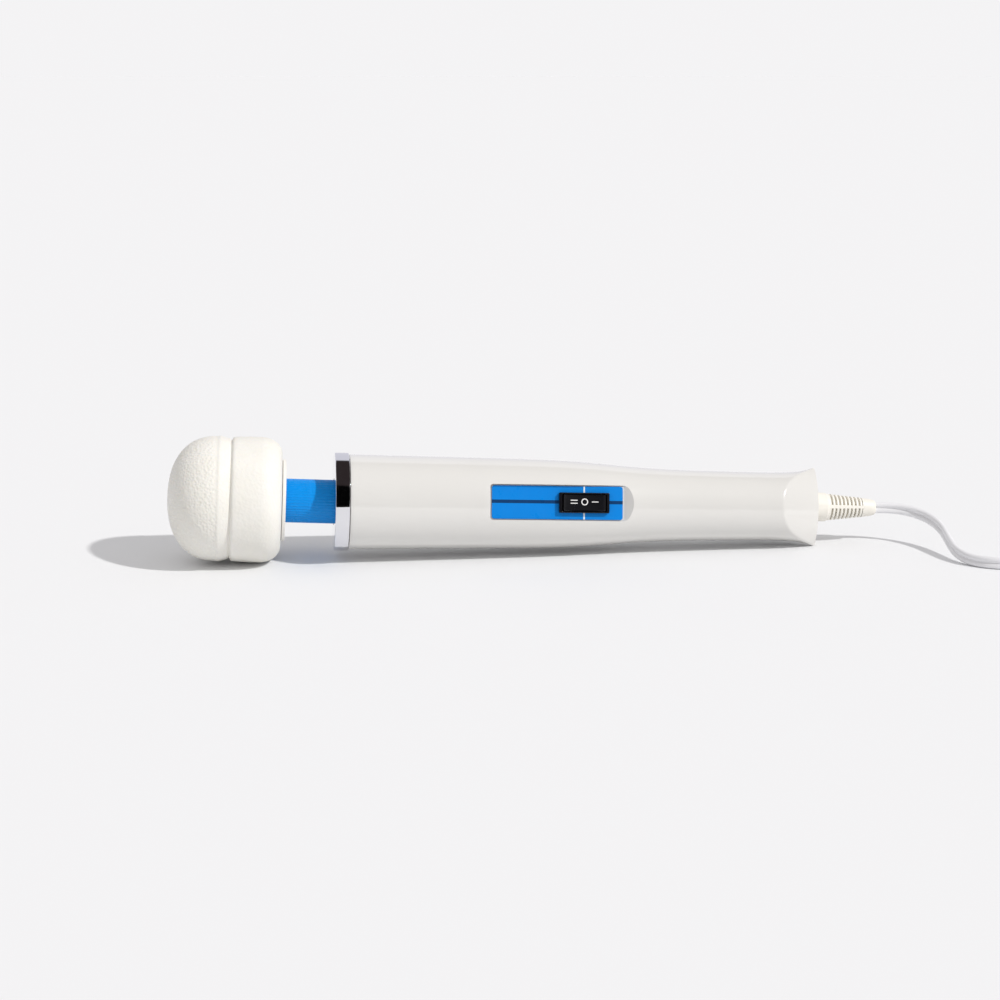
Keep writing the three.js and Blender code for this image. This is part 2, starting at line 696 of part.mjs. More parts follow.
// ---------------------------------------------------------------- electrics and lead
function makeElectrics() {
  // The diode is soldered across the switch's low and high terminals.
  const diode = disc([-6.2, 6.2], 1.7, 8).translate(0, 4.4, -14);
  piece(recess, "speed_diode", diode, MATERIALS.black);

  const wire = oval(0.9, 0.9, 6);
  const runs = {
    wire_line: [[[282, 1.6, 0], [266, 2, 3], [240, 3, 3], [218, 3, 2], [202.6, 2, 0]], MATERIALS.wireBlack],
    wire_neutral: [
      [
        [282, -1.6, 0],
        [266, -1, -2.6],
        [240, 1, -2.2],
        [222, 3, -2.4],
        [204, 8, -5],
        [185, 10, -7],
        [160, 10, -10],
      ],
      MATERIALS.wireWhite,
    ],
    wire_high: [[[184.8, -2, 0], [180, 3, 2], [170, 8, 6], [160, 10, 10]], MATERIALS.wireRed],
  };
  Object.entries(runs).forEach(([name, [route, material]]) => {
    piece(handle, name, tube(route, wire, 12), material);
  });

  const core = block([283, -CORD_THICK / 2, -CORD_WIDTH / 2], [303.2, CORD_THICK / 2, CORD_WIDTH / 2]);
  piece(handle, "lead_end", core, MATERIALS.cord);
  const clamp = cut(
    block([288.5, -3.6, -8.8], [294.5, 3.6, 8.8]),
    block([288, -1.7, -3.1], [295, 1.7, 3.1]),
  );
  piece(handle, "lead_clamp", clamp, MATERIALS.nylon);
}

function makeStrainRelief() {
  const seat = SHELL_REAR - RELIEF_SEAT + GAP;
  const collarEnd = SHELL_REAR + 5.3;
  const end = SHELL_REAR + RELIEF_LENGTH;
  const body = turned([
    [304.2, 0],
    [304.2, 4],
    [seat, 4],
    [seat, RELIEF_RADIUS],
    [collarEnd, RELIEF_RADIUS],
    [collarEnd + 0.6, 6.6],
    [end - 6.5, 4.7],
    [end - 2, 4.1],
    [end, 3.3],
    [end, 0],
  ], 14);
  const rib = 0.7;
  const slots = Array.from({ length: RELIEF_SLOTS }, (_, i) => collarEnd + 1.4 + i * RELIEF_PITCH);
  const cutters = slots.flatMap((x, i) => {
    const depth = 3.6 - 0.13 * i;
    return [1, -1].flatMap((a) =>
      [1, -1].map((b) => {
        const sides = (sign, low) => (sign > 0 ? [low, 9] : [-9, -low]);
        const [y0, y1] = sides(a, depth * 0.62);
        const [z0, z1] = sides(b, rib);
        return block([x, y0, z0], [x + 1, y1, z1]);
      }),
    );
  });
  piece(handle, "strain_relief", cut(body, ...cutters), MATERIALS.relief);
}

// The lead's route from the strain relief to the coil. It drops to the surface in its first bend and
// stands on its edge all along.
const LEAD_ROUTE = [
  [170.7, 0, 17.2],
  [177, -0.5, 17.05],
  [184.5, -2.6, 16.4],
  [191, -6.6, 15],
  [195.6, -12.6, 13],
  [197.8, -19.6, 10.5],
  [198.1, -27, 8],
  [197.9, -34.4, 5.8],
  [198.4, -41.6, 4.2],
  [201, -48.4, 3.1],
  [205.8, -53.8, 2.85],
  [212, -57.4, 2.85],
  [219.5, -59.3, 2.85],
  [230, -60, 2.85],
  [243, -60.1, 2.85],
  [256, -60.1, 2.85],
  [268.6, -60.1, 2.85],
];

// The lead's way from the top of the coil down to the plug.
const TAIL_ROUTE = [
  [299.4, -60.1, 8.6],
  [304, -60.1, 8.2],
  [309, -60.1, 7.2],
  [313.7, -60.1, 6.6],
];

function makeLead() {
  const section = oval(CORD_WIDTH / 2, CORD_THICK / 2, 8);
  piece(lead, "lead_run", tube(LEAD_ROUTE, section, 30), MATERIALS.cord);
  const tailSection = oval(CORD_THICK / 2, CORD_WIDTH / 2, 8);
  piece(lead, "lead_tail", tube(TAIL_ROUTE, tailSection, 4), MATERIALS.cord);

  // The tie squeezes the bundle of turns where it goes round it, on the far side.
  const bundle = (grow) =>
    turned(
      [
        [grow, COIL.inside + grow],
        [grow, COIL.outside - grow],
        [COIL.height - grow, COIL.outside - grow],
        [COIL.height - grow, COIL.inside + grow],
      ],
      28,
    )
      .rotateY(-Math.PI / 2)
      .translate(COIL.x, COIL.y, 0);
  const slice = (half) =>
    block([COIL.x - half, COIL.y, -1], [COIL.x + half, COIL.y + 2 * COIL.outside, COIL.height + 1]);
  const outer = cut(bundle(0), slice(TIE.width / 2 + GAP));
  const inner = common(bundle(TIE.thick + GAP), slice(TIE.width));
  piece(lead, "lead_coil", join(outer, inner), MATERIALS.cord);
  const wrap = common(bundle(0), slice(TIE.width / 2));
  piece(lead, "coil_tie", cut(wrap, bundle(TIE.thick)), MATERIALS.rubber);

  const plugOutline = roundedRectangle(PLUG.front - PLUG.rear, PLUG.width, PLUG.corner);
  const plugY = TAIL_ROUTE[0][1];
  const plug = slab(plugOutline, [0, PLUG.height]);
  piece(lead, "plug_body", plug.translate((PLUG.rear + PLUG.front) / 2, plugY, 0), MATERIALS.cord);
  [-1, 1].forEach((side, i) => {
    const y = plugY + (side * BLADE.spacing) / 2;
    const low = [PLUG.front + GAP, y - BLADE.thick / 2, (PLUG.height - BLADE.width) / 2];
    const high = [PLUG.front + BLADE.length, y + BLADE.thick / 2, (PLUG.height + BLADE.width) / 2];
    piece(lead, `plug_blade_${i + 1}`, block(low, high), MATERIALS.brass);
  });
}

// ---------------------------------------------------------------- assembly
makeHeadCap();
makeHeadCore();
makeHeadDrive();
makeNeckHub();
makeNeck();
makeShells();
makeChromeRing();
makeNeckSocket();
makeMotor();
makeRotor();
makeBrushes();
makeLabel();
makeSwitch();
makeElectrics();
makeStrainRelief();

// The wand rests on Z = 0 with the middle of its length and width at the origin.
wand.updateMatrixWorld(true);
const extent = new THREE.Box3().setFromObject(wand, true);
const middle = extent.getCenter(new THREE.Vector3());
wand.position.set(-middle.x, -middle.y, -extent.min.z);
makeLead();

export default massager;
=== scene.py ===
"""A corded wand massager lying on a pale floor. Lengths in the shape functions are millimetres in the
piece's own group frame, and each group's matrix takes them to metres in the row frame."""
import json
import math

import bmesh
import bpy
from mathutils import Matrix, Vector

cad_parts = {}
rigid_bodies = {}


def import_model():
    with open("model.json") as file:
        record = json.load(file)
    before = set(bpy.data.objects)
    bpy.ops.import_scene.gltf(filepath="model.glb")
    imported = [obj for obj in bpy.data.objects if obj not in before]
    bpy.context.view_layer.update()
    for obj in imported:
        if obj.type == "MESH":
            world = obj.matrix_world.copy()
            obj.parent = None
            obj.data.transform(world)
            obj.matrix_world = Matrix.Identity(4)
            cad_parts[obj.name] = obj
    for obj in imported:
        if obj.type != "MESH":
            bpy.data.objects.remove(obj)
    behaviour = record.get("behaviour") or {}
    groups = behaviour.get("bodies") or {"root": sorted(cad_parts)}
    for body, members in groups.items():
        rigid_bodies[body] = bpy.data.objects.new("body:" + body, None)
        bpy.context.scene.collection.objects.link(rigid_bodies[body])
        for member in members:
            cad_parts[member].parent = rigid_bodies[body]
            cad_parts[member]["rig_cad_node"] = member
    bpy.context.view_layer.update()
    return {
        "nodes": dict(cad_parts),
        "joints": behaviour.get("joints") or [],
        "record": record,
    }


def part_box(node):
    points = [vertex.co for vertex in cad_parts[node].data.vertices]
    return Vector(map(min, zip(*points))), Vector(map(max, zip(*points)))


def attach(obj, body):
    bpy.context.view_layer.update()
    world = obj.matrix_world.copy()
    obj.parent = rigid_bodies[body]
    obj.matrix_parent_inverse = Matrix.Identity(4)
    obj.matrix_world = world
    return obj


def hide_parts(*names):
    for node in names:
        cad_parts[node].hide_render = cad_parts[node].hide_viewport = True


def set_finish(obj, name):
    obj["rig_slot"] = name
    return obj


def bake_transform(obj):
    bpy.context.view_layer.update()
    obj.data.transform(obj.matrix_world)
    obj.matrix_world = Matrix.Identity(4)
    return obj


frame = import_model()
joints = {joint["name"]: joint for joint in frame["joints"]}
MM = 0.001
MERGE = 2e-6  # metres between points that become one

# ------------------------------------------------------------------ frames
PITCH_STATION = 71.7
ROLL = math.radians(15)
PITCH_POINT = Vector(joints["neck_pitch"]["pos_m"])


def group_frame(axis, roll=0.0):
    """Millimetres along an axis through the pitch point, measured from the head's tip, to metres."""
    axis = Vector(axis).normalized()
    side = Vector((0, 1, 0))
    up = axis.cross(side)
    turn = Matrix((axis, side, up)).transposed().to_4x4()
    origin = PITCH_POINT - axis * PITCH_STATION * MM
    return Matrix.Translation(origin) @ turn @ Matrix.Rotation(-roll, 4, "X") @ Matrix.Scale(MM, 4)


HANDLE = group_frame(joints["motor_spin"]["axis"], ROLL)
FRONT = group_frame(joints["weight_spin"]["axis"])
ROW = Matrix.Scale(MM, 4)

# The recess floor: X along the handle, Z out of the recess.
SWITCH_STATION = 193.9
RECESS_DEPTH = 16.6
RECESS_TILT = math.radians(1.5)
RECESS = (
    HANDLE
    @ Matrix.Translation((SWITCH_STATION, -RECESS_DEPTH, 0))
    @ Matrix.Rotation(RECESS_TILT, 4, "Z")
    @ Matrix.Rotation(math.pi / 2, 4, "X")
)

# ------------------------------------------------------------------ camera
CAMERA_TARGET = Vector((-0.0141, 0, 0.0262))
CAMERA_AZIMUTH = math.radians(-7)
CAMERA_ELEVATION = math.radians(13)
CAMERA_DISTANCE = 0.906
LENS, SENSOR = 68.4, 36  # millimetres


def make_camera():
    """The camera, level across and aimed at its target."""
    data = bpy.data.cameras.new("camera")
    data.lens = LENS
    data.sensor_width = SENSOR
    data.clip_start = 0.01
    camera = bpy.data.objects.new("camera", data)
    bpy.context.scene.collection.objects.link(camera)
    flat = math.cos(CAMERA_ELEVATION)
    away = Vector(
        (
            math.sin(CAMERA_AZIMUTH) * flat,
            -math.cos(CAMERA_AZIMUTH) * flat,
            math.sin(CAMERA_ELEVATION),
        )
    )
    camera.location = CAMERA_TARGET + away * CAMERA_DISTANCE
    camera.rotation_euler = (-away).to_track_quat("-Z", "Y").to_euler()
    bpy.context.scene.camera = camera


make_camera()

# ------------------------------------------------------------------ mesh helpers


def piece(name, points, faces, matrix, body, slot, *nodes, smooth=35):
    """A mesh piece from points in a group's millimetres, riding on a body and replacing CAD nodes."""
    mesh = bpy.data.meshes.new(name)
    mesh.from_pydata([matrix @ Vector(p) for p in points], [], faces)
    mesh.validate()
    made = bmesh.new()
    made.from_mesh(mesh)
    bmesh.ops.remove_doubles(made, verts=made.verts, dist=MERGE)
    bmesh.ops.recalc_face_normals(made, faces=made.faces)
    made.to_mesh(mesh)
    made.free()
    obj = bpy.data.objects.new(name, mesh)
    bpy.context.scene.collection.objects.link(obj)
    mesh.shade_smooth()
    mesh.set_sharp_from_angle(angle=math.radians(smooth))
    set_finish(obj, slot)
    if nodes:
        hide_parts(*nodes)
    if body:
        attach(obj, body)
    return obj


def grid_faces(rows, columns, closed_columns=True, closed_rows=False):
    """Quads between neighbouring rings of points."""
    faces = []
    for i in range(rows if closed_rows else rows - 1):
        for j in range(columns if closed_columns else columns - 1):
            a, b = i * columns, ((i + 1) % rows) * columns
            k = (j + 1) % columns
            faces.append((a + j, a + k, b + k, b + j))
    return faces


def lathe(profile, sides=160):
    """A closed profile of (station, radius) turned about X."""
    points = []
    for station, radius in profile:
        for i in range(sides):
            angle = 2 * math.pi * i / sides
            points.append((station, radius * math.sin(angle), radius * math.cos(angle)))
    return points, grid_faces(len(profile), sides, closed_rows=True)


def arc(centre, radius, start, end, steps=6):
    """Profile points on a circle, from one angle to another in degrees."""
    points = []
    for i in range(steps + 1):
        angle = math.radians(start + (end - start) * i / steps)
        points.append((centre[0] + radius * math.cos(angle), centre[1] + radius * math.sin(angle)))
    return points


def smooth_step(t):
    """From 0 to 1 with level ends."""
    t = min(1.0, max(0.0, t))
    return t * t * (3 - 2 * t)


def smooth_curve(points, step):
    """Evenly stepped points on a centripetal Catmull-Rom curve through the given ones."""
    points = [Vector(p) for p in points]
    ends = [2 * points[0] - points[1]] + points + [2 * points[-1] - points[-2]]
    fine = []
    for a, b, c, d in zip(ends, ends[1:], ends[2:], ends[3:]):
        t0, t1 = 0.0, (b - a).length ** 0.5
        t2 = t1 + (c - b).length ** 0.5
        t3 = t2 + (d - c).length ** 0.5
        count = max(1, round((c - b).length / step))
        for i in range(count):
            t = t1 + (t2 - t1) * i / count
            ab = a * ((t1 - t) / (t1 - t0)) + b * ((t - t0) / (t1 - t0))
            bc = b * ((t2 - t) / (t2 - t1)) + c * ((t - t1) / (t2 - t1))
            cd = c * ((t3 - t) / (t3 - t2)) + d * ((t - t2) / (t3 - t2))
            low = ab * ((t2 - t) / (t2 - t0)) + bc * ((t - t0) / (t2 - t0))
            high = bc * ((t3 - t) / (t3 - t1)) + cd * ((t - t1) / (t3 - t1))
            fine.append(low * ((t2 - t) / (t2 - t1)) + high * ((t - t1) / (t2 - t1)))
    fine.append(points[-1])
    return fine


# ------------------------------------------------------------------ loops and booleans


def rounded_loop(half_x, half_y, corner, z, steps=6):
    """A rounded rectangle of points in XY at a height."""
    corner = min(corner, half_x, half_y)
    points = []
    for quarter, (sx, sy) in enumerate(((1, 1), (-1, 1), (-1, -1), (1, -1))):
        for i in range(steps + 1):
            angle = math.pi / 2 * (quarter + i / steps)
            x = sx * (half_x - corner) + corner * math.cos(angle)
            y = sy * (half_y - corner) + corner * math.sin(angle)
            points.append((x, y, z))
    return points


def loft(rings, closed=False):
    """Faces through rings of as many points each, with flat ends unless the last ring meets the first."""
    count = len(rings[0])
    points = [p for ring in rings for p in ring]
    faces = grid_faces(len(rings), count, closed_rows=closed)
    if not closed:
        faces.append(tuple(range(count)))
        faces.append(tuple(range((len(rings) - 1) * count, len(rings) * count)))
    return points, faces


def solid(name, points, faces, matrix):
    """A helper object for a boolean, which is used up by it."""
    mesh = bpy.data.meshes.new(name)
    mesh.from_pydata([matrix @ Vector(p) for p in points], [], faces)
    made = bmesh.new()
    made.from_mesh(mesh)
    bmesh.ops.remove_doubles(made, verts=made.verts, dist=MERGE)
    bmesh.ops.recalc_face_normals(made, faces=made.faces)
    made.to_mesh(mesh)
    made.free()
    obj = bpy.data.objects.new(name, mesh)
    bpy.context.scene.collection.objects.link(obj)
    return obj


def boolean(obj, tool, operation):
    """The object with the boolean applied and the tool used up."""
    modifier = obj.modifiers.new("boolean", "BOOLEAN")
    modifier.object = tool
    modifier.operation = operation
    modifier.solver = "EXACT"
    bpy.context.view_layer.update()
    graph = bpy.context.evaluated_depsgraph_get()
    mesh = bpy.data.meshes.new_from_object(obj.evaluated_get(graph))
    obj.modifiers.clear()
    obj.data = mesh
    bpy.data.objects.remove(tool)
    return obj


def rods(places, radius, low, high, sides=40):
    """Rods along Y in the handle's frame, as one helper's points and faces."""
    points, faces = [], []
    for station, height in places:
        first = len(points)
        for y in (low, high):
            for i in range(sides):
                angle = 2 * math.pi * i / sides
                points.append((station + radius * math.cos(angle), y, height + radius * math.sin(angle)))
        faces += [tuple(first + k for k in face) for face in grid_faces(2, sides)]
        faces.append(tuple(range(first, first + sides)))
        faces.append(tuple(range(first + sides, first + 2 * sides)))
    return points, faces


# ------------------------------------------------------------------ lead
CORD_WIDTH = 5.6
CORD_THICK = 2.8
CORD_WEB = 0.5  # the thickness between the two cores, as a part of a core's
CORD_STEP = 1.6
INSIDE_RELIEF = (165.5, 0, 17.4)
LEAD_ROUTE = [
    (170.7, 0, 17.2),
    (177, -0.5, 17.05),
    (184.5, -2.6, 16.4),
    (191, -6.6, 15),
    (195.6, -12.6, 13),
    (197.8, -19.6, 10.5),
    (198.1, -27, 8),
    (197.9, -34.4, 5.8),
    (198.4, -41.6, 4.2),
    (201, -48.4, 3.1),
    (205.8, -53.8, 2.85),
    (212, -57.4, 2.85),
    (219.5, -59.3, 2.85),
    (230, -60, 2.85),
    (243, -60.1, 2.85),
    (256, -60.1, 2.85),
    (268.6, -60.1, 2.85),
]
COIL = {"x": 284, "y": -22.6, "inside": 26.3, "outside": 39.1, "height": 11.6}
COIL_TURNS = 4  # in each of two layers
TURN_PITCH = 3.2
LAYER_HEIGHTS = (2.85, 8.65)
TAIL_ROUTE = [
    (299.4, -60.1, 8.6),
    (304, -60.1, 8.2),
    (309, -60.1, 7.2),
    (313.7, -60.1, 6.6),
]


def coil_points(steps=30, crossing=0.22):
    """Two layers of turns, wound inwards and then outwards. Each turn steps to the next in the last
    part of its way round."""
    outer = COIL["outside"] - TURN_PITCH / 2
    points = []
    for turn in range(2 * COIL_TURNS):
        layer = turn // COIL_TURNS
        for i in range(steps):
            part = i / steps
            shift = smooth_step((part - 1 + crossing) / crossing)
            if turn < COIL_TURNS - 1:
                ring, height = turn + shift, LAYER_HEIGHTS[0]
            elif turn == COIL_TURNS - 1:
                ring = turn
                height = LAYER_HEIGHTS[0] + shift * (LAYER_HEIGHTS[1] - LAYER_HEIGHTS[0])
            else:
                back = 2 * COIL_TURNS - 1 - turn
                ring, height = max(0, back - shift), LAYER_HEIGHTS[layer]
            radius = outer - TURN_PITCH * ring
            angle = 2 * math.pi * part - math.pi / 2
            points.append(
                (COIL["x"] + radius * math.cos(angle), COIL["y"] + radius * math.sin(angle), height)
            )
    points.append((COIL["x"], COIL["y"] - outer, LAYER_HEIGHTS[1]))
    return points


def cord_section():
    """Points round a twin lead: two round cores side by side, with a groove between them on each side."""
    core = CORD_THICK / 2
    web = CORD_WEB * core
    outline = []
    count = 24
    for i in range(count):
        angle = 2 * math.pi * i / count
        across = (CORD_WIDTH / 2) * math.cos(angle)
        inner = max(0.0, core**2 - (abs(across) - core) ** 2) ** 0.5
        thick = max(inner, web) if abs(across) < core else inner
        at_edge = abs(math.sin(angle)) < 1e-6
        outline.append((across, 0 if at_edge else math.copysign(thick, math.sin(angle))))
    return outline


def sweep(path, outline, up=Vector((0, 0, 1))):
    """A closed tube along a path, the outline's first axis kept as near to up as it can be."""
    points, count = [], len(path)
    for i, centre in enumerate(path):
        along = (path[min(i + 1, count - 1)] - path[max(i - 1, 0)]).normalized()
        wide = (up - along * up.dot(along)).normalized()
        thin = along.cross(wide)
        points += [centre + wide * a + thin * b for a, b in outline]
    sides = len(outline)
    faces = grid_faces(count, sides)
    faces.append(tuple(range(sides)))
    faces.append(tuple(range((count - 1) * sides, count * sides)))
    return points, faces


def make_lead():
    """The lead from inside the relief to the plug, along one smooth curve."""
    route = [INSIDE_RELIEF] + LEAD_ROUTE + coil_points() + TAIL_ROUTE
    path = smooth_curve(route, CORD_STEP)
    points, faces = sweep(path, cord_section())
    nodes = ("lead_run", "lead_coil", "lead_tail")
    lead = piece("mains_lead", points, faces, ROW, "handle", "cord", *nodes, smooth=60)


# Round the tie: how far each ring is from its middle, and how much wider it is than the bundle.
TIE_RINGS = ((-4.5, -0.15), (-4.3, 0.3), (4.3, 0.3), (4.5, -0.15), (4.5, -0.5), (-4.5, -0.5))
TIE_CORNER = 2.2
# Along the plug: millimetres from its cord end, and its width and height there as parts of the largest.
PLUG_STATIONS = (
    (0, 0.24, 0.34), (0.5, 0.3, 0.42), (4, 0.34, 0.46), (6, 0.42, 0.56), (8, 0.6, 0.74),
    (10.5, 0.82, 0.9), (12, 0.88, 0.94), (12.6, 0.85, 0.9), (13.8, 0.85, 0.9), (14.4, 0.9, 0.96),
    (15.6, 0.91, 0.96), (16.2, 0.87, 0.91), (17.4, 0.87, 0.91), (18, 0.93, 0.98), (21, 0.98, 1),
    (25.2, 1, 1), (25.8, 0.985, 0.98), (26, 0.95, 0.94),
)
PLUG_CORNER = 3.4


def tie_and_plug():
    """The tie round the coil's far side, and the plug that the lead ends in."""
    middle = (COIL["inside"] + COIL["outside"]) / 2
    half_radial = (COIL["outside"] - COIL["inside"]) / 2 + 0.25
    half_high = COIL["height"] / 2
    rings = []
    for x, grow in TIE_RINGS:
        loop = rounded_loop(half_radial + grow, half_high + min(grow, 0), TIE_CORNER, 0)
        centre = Vector((COIL["x"] + x, COIL["y"] + middle, half_high))
        rings.append([centre + Vector((0, a, b)) for a, b, _ in loop])
    points, faces = loft(rings, closed=True)
    tie = piece("lead_tie", points, faces, ROW, "handle", "tie", "coil_tie")

    low, high = (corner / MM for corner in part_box("plug_body"))
    centre = (low + high) / 2
    half_y, half_z = (high.y - low.y) / 2, (high.z - low.z) / 2
    rings = []
    for along, wide, tall in PLUG_STATIONS:
        corner = min(PLUG_CORNER, 0.9 * half_z * tall)
        loop = rounded_loop(half_y * wide, half_z * tall, corner, 0)
        rings.append([Vector((low.x + along, centre.y + a, centre.z + b)) for a, b, _ in loop])
    points, faces = loft(rings)
    plug = piece("mains_plug", points, faces, ROW, "handle", "cord", "plug_body", smooth=50)
    return [tie, plug]


# ------------------------------------------------------------------ head and neck
HEAD_LENGTH = 52.7
DOME_RADIUS, DOME_DEPTH, DOME_POWER = 29.2, 22.8, 2.3
# The cap's side, as stations and radii: it falls gently into a groove, rises steeply out of it and
# swells a little to the rear.
CAP_SIDE = (
    (23.0, 29.26), (23.4, 29.38), (23.8, 29.42), (24.3, 29.34), (25.2, 29.12), (26.2, 28.86),
    (27.2, 28.56), (27.8, 28.34), (28.2, 28.26), (28.55, 27.9), (28.8, 27.6), (29.0, 27.5),
    (29.2, 27.6), (29.4, 27.95), (29.6, 28.4), (29.85, 28.8), (30.2, 29.05), (30.8, 29.2),
    (32.0, 29.29), (34.0, 29.36), (37.0, 29.44), (40.0, 29.47),
)
CAP_CORNER = (42.7, 22.0, 10.0, 7.46)  # centre station, centre radius, half length, half height
CAP_MOUTH_RADIUS, CAP_MOUTH_LIP = 15.2, 0.5
CAP_HOLLOW_REAR, CAP_HOLLOW_RADIUS, CAP_HOLLOW_DEPTH, CAP_HOLLOW_START = 49.5, 24.9, 14.8, 4.2
HUB_FRONT, HUB_DISC_FRONT, HUB_SEAT = 46.3, 53.0, 50.4
HUB_BORE, HUB_NECK_RADIUS, HUB_RADIUS, HUB_SEAT_RADIUS = 8.4, 13.7, 19.3, 11.8
HUB_BEVEL = 0.4
SLEEVE_RADIUS, SLEEVE_BORE = 10.3, 8.6
SLEEVE = (52.9, 80.5)
RIBS, RIB_HEIGHT, RIB_POWER = 46, 0.2, 0.55
SPRING = (49, 93)
SPRING_TURNS, SPRING_RADIUS, SPRING_WIRE = 9, 6.9, 1.1
BEND_SPLIT = 66.0
HEAD_SIDE, HANDLE_SIDE = 54.6, 77.4  # stations where each bend ends
RING_FRONT, RING_REAR, RING_RADIUS = 77.4, 84.0, 23.15
RING_BORE, RING_SEAT, RING_INSIDE, RING_FLOOR = 11.0, 12.2, 20.5, 2.2


def dome(radius, depth, start, steps):
    """A superellipse from the axis to its widest ring."""
    profile = []
    for i in range(steps + 1):
        angle = math.pi / 2 * i / steps
        across = radius * math.sin(angle) ** (2 / DOME_POWER)
        profile.append((start + depth * (1 - math.cos(angle) ** (2 / DOME_POWER)), max(0.02, across)))
    return profile


def make_head():
    """The soft cap: a dome, a grooved side, a rounded rear and a hollow for the core."""
    profile = dome(DOME_RADIUS, DOME_DEPTH, 0, 48) + list(CAP_SIDE)
    station, radius, long, high = CAP_CORNER
    for i in range(21):
        angle = math.pi / 2 * i / 20
        profile.append((station + long * math.sin(angle), radius + high * math.cos(angle)))
    lip = CAP_MOUTH_LIP
    profile += arc((HEAD_LENGTH - lip, CAP_MOUTH_RADIUS + lip), lip, 0, -90, 4)
    profile += [(CAP_HOLLOW_REAR, CAP_MOUTH_RADIUS), (CAP_HOLLOW_REAR, CAP_HOLLOW_RADIUS)]
    profile += list(reversed(dome(CAP_HOLLOW_RADIUS, CAP_HOLLOW_DEPTH, CAP_HOLLOW_START, 14)))
    points, faces = lathe(profile, 192)
    piece("massage_head_cap", points, faces, FRONT, "head", "soft_cap", "head_cap", smooth=62)


def make_hub():
    """The disc behind the cap, with a seat for the sleeve."""
    bevel = HUB_BEVEL
    profile = [(HUB_FRONT, HUB_BORE), (HUB_FRONT, HUB_NECK_RADIUS), (HUB_DISC_FRONT, HUB_NECK_RADIUS)]
    profile += [(HUB_DISC_FRONT, HUB_RADIUS - bevel / 2), (HUB_DISC_FRONT + bevel / 2, HUB_RADIUS)]
    profile += arc((HEAD_SIDE - bevel, HUB_RADIUS - bevel), bevel, 90, 0, 5)
    profile += [(HEAD_SIDE, HUB_SEAT_RADIUS + bevel), (HEAD_SIDE - bevel, HUB_SEAT_RADIUS)]
    profile += [(HUB_SEAT, HUB_SEAT_RADIUS), (HUB_SEAT, HUB_BORE)]
    points, faces = lathe(profile, 128)
    piece("neck_hub_disc", points, faces, FRONT, "head", "core_plastic", "neck_hub")


def ribbed_tube(first, last, samples=8, row_length=0.9):
    """A tube with fine ribs along it and a plain bore."""
    rows = []
    sides = RIBS * samples
    count = round((last - first) / row_length)
    for i in range(count + 1):
        station = first + (last - first) * i / count
        ring = []
        for k in range(sides):
            crest = abs(math.cos(math.pi * (k / samples + 0.5)))
            ring.append((station, SLEEVE_RADIUS - RIB_HEIGHT + RIB_HEIGHT * crest**RIB_POWER, k))
        rows.append(ring)
    for station in (last, first):
        rows.append([(station, SLEEVE_BORE, k) for k in range(sides)])
    turn = 2 * math.pi / sides
    points = [(s, r * math.sin(k * turn), r * math.cos(k * turn)) for row in rows for s, r, k in row]
    return points, grid_faces(len(rows), sides, closed_rows=True)


def spring(first, last, steps=28):
    """A stretch of the neck's coil spring, as a swept round wire."""
    pitch = (SPRING[1] - SPRING[0]) / SPRING_TURNS
    count = round((last - first) / pitch * steps)
    path = []
    for i in range(count + 1):
        station = first + (last - first) * i / count
        angle = 2 * math.pi * (station - SPRING[0]) / pitch
        path.append(Vector((station, SPRING_RADIUS * math.cos(angle), SPRING_RADIUS * math.sin(angle))))
    turns = [k * math.pi / 6 for k in range(12)]
    outline = [(SPRING_WIRE * math.cos(turn), SPRING_WIRE * math.sin(turn)) for turn in turns]
    return sweep(path, outline, up=Vector((1, 0, 0)))


def make_neck():
    """The sleeve and its spring, each made as two halves that meet between the neck's two bends; the halves
    ride on no body.
    """
    halves = (
        ("rear", "handle", "neck_link", HANDLE_SIDE, BEND_SPLIT),
        ("front", "neck_link", "head", BEND_SPLIT, HEAD_SIDE),
    )
    for place, near, far, start, end in halves:
        sleeve_span = (BEND_SPLIT, SLEEVE[1]) if place == "rear" else (SLEEVE[0], BEND_SPLIT)
        spring_span = (BEND_SPLIT, SPRING[1]) if place == "rear" else (SPRING[0], BEND_SPLIT)
        looks = (
            ("neck_sleeve", "blue_sleeve", ribbed_tube(*sleeve_span), 70),
            ("neck_spring", "steel", spring(*spring_span), 35),
        )
        for node, slot, (points, faces), smooth in looks:
            part = piece(node + "_" + place, points, faces, FRONT, None, slot, node, smooth=smooth)
            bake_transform(part)


def make_ring():
    """The chrome ring: a cup with a rounded rim, open to the handle."""
    profile = [(RING_FRONT, RING_BORE)]
    profile += arc((RING_FRONT + 0.45, RING_RADIUS - 0.45), 0.45, 180, 90, 6)
    profile += arc((RING_REAR - 0.3, RING_RADIUS - 0.3), 0.3, 90, 0, 5)
    profile += [(RING_REAR, RING_INSIDE), (RING_FRONT + RING_FLOOR, RING_INSIDE)]
    profile += [(RING_FRONT + RING_FLOOR, RING_SEAT), (RING_FRONT + 1.4, RING_BORE)]
    points, faces = lathe(profile, 256)
    piece("chrome_band", points, faces, HANDLE, "handle", "chrome", "chrome_ring")


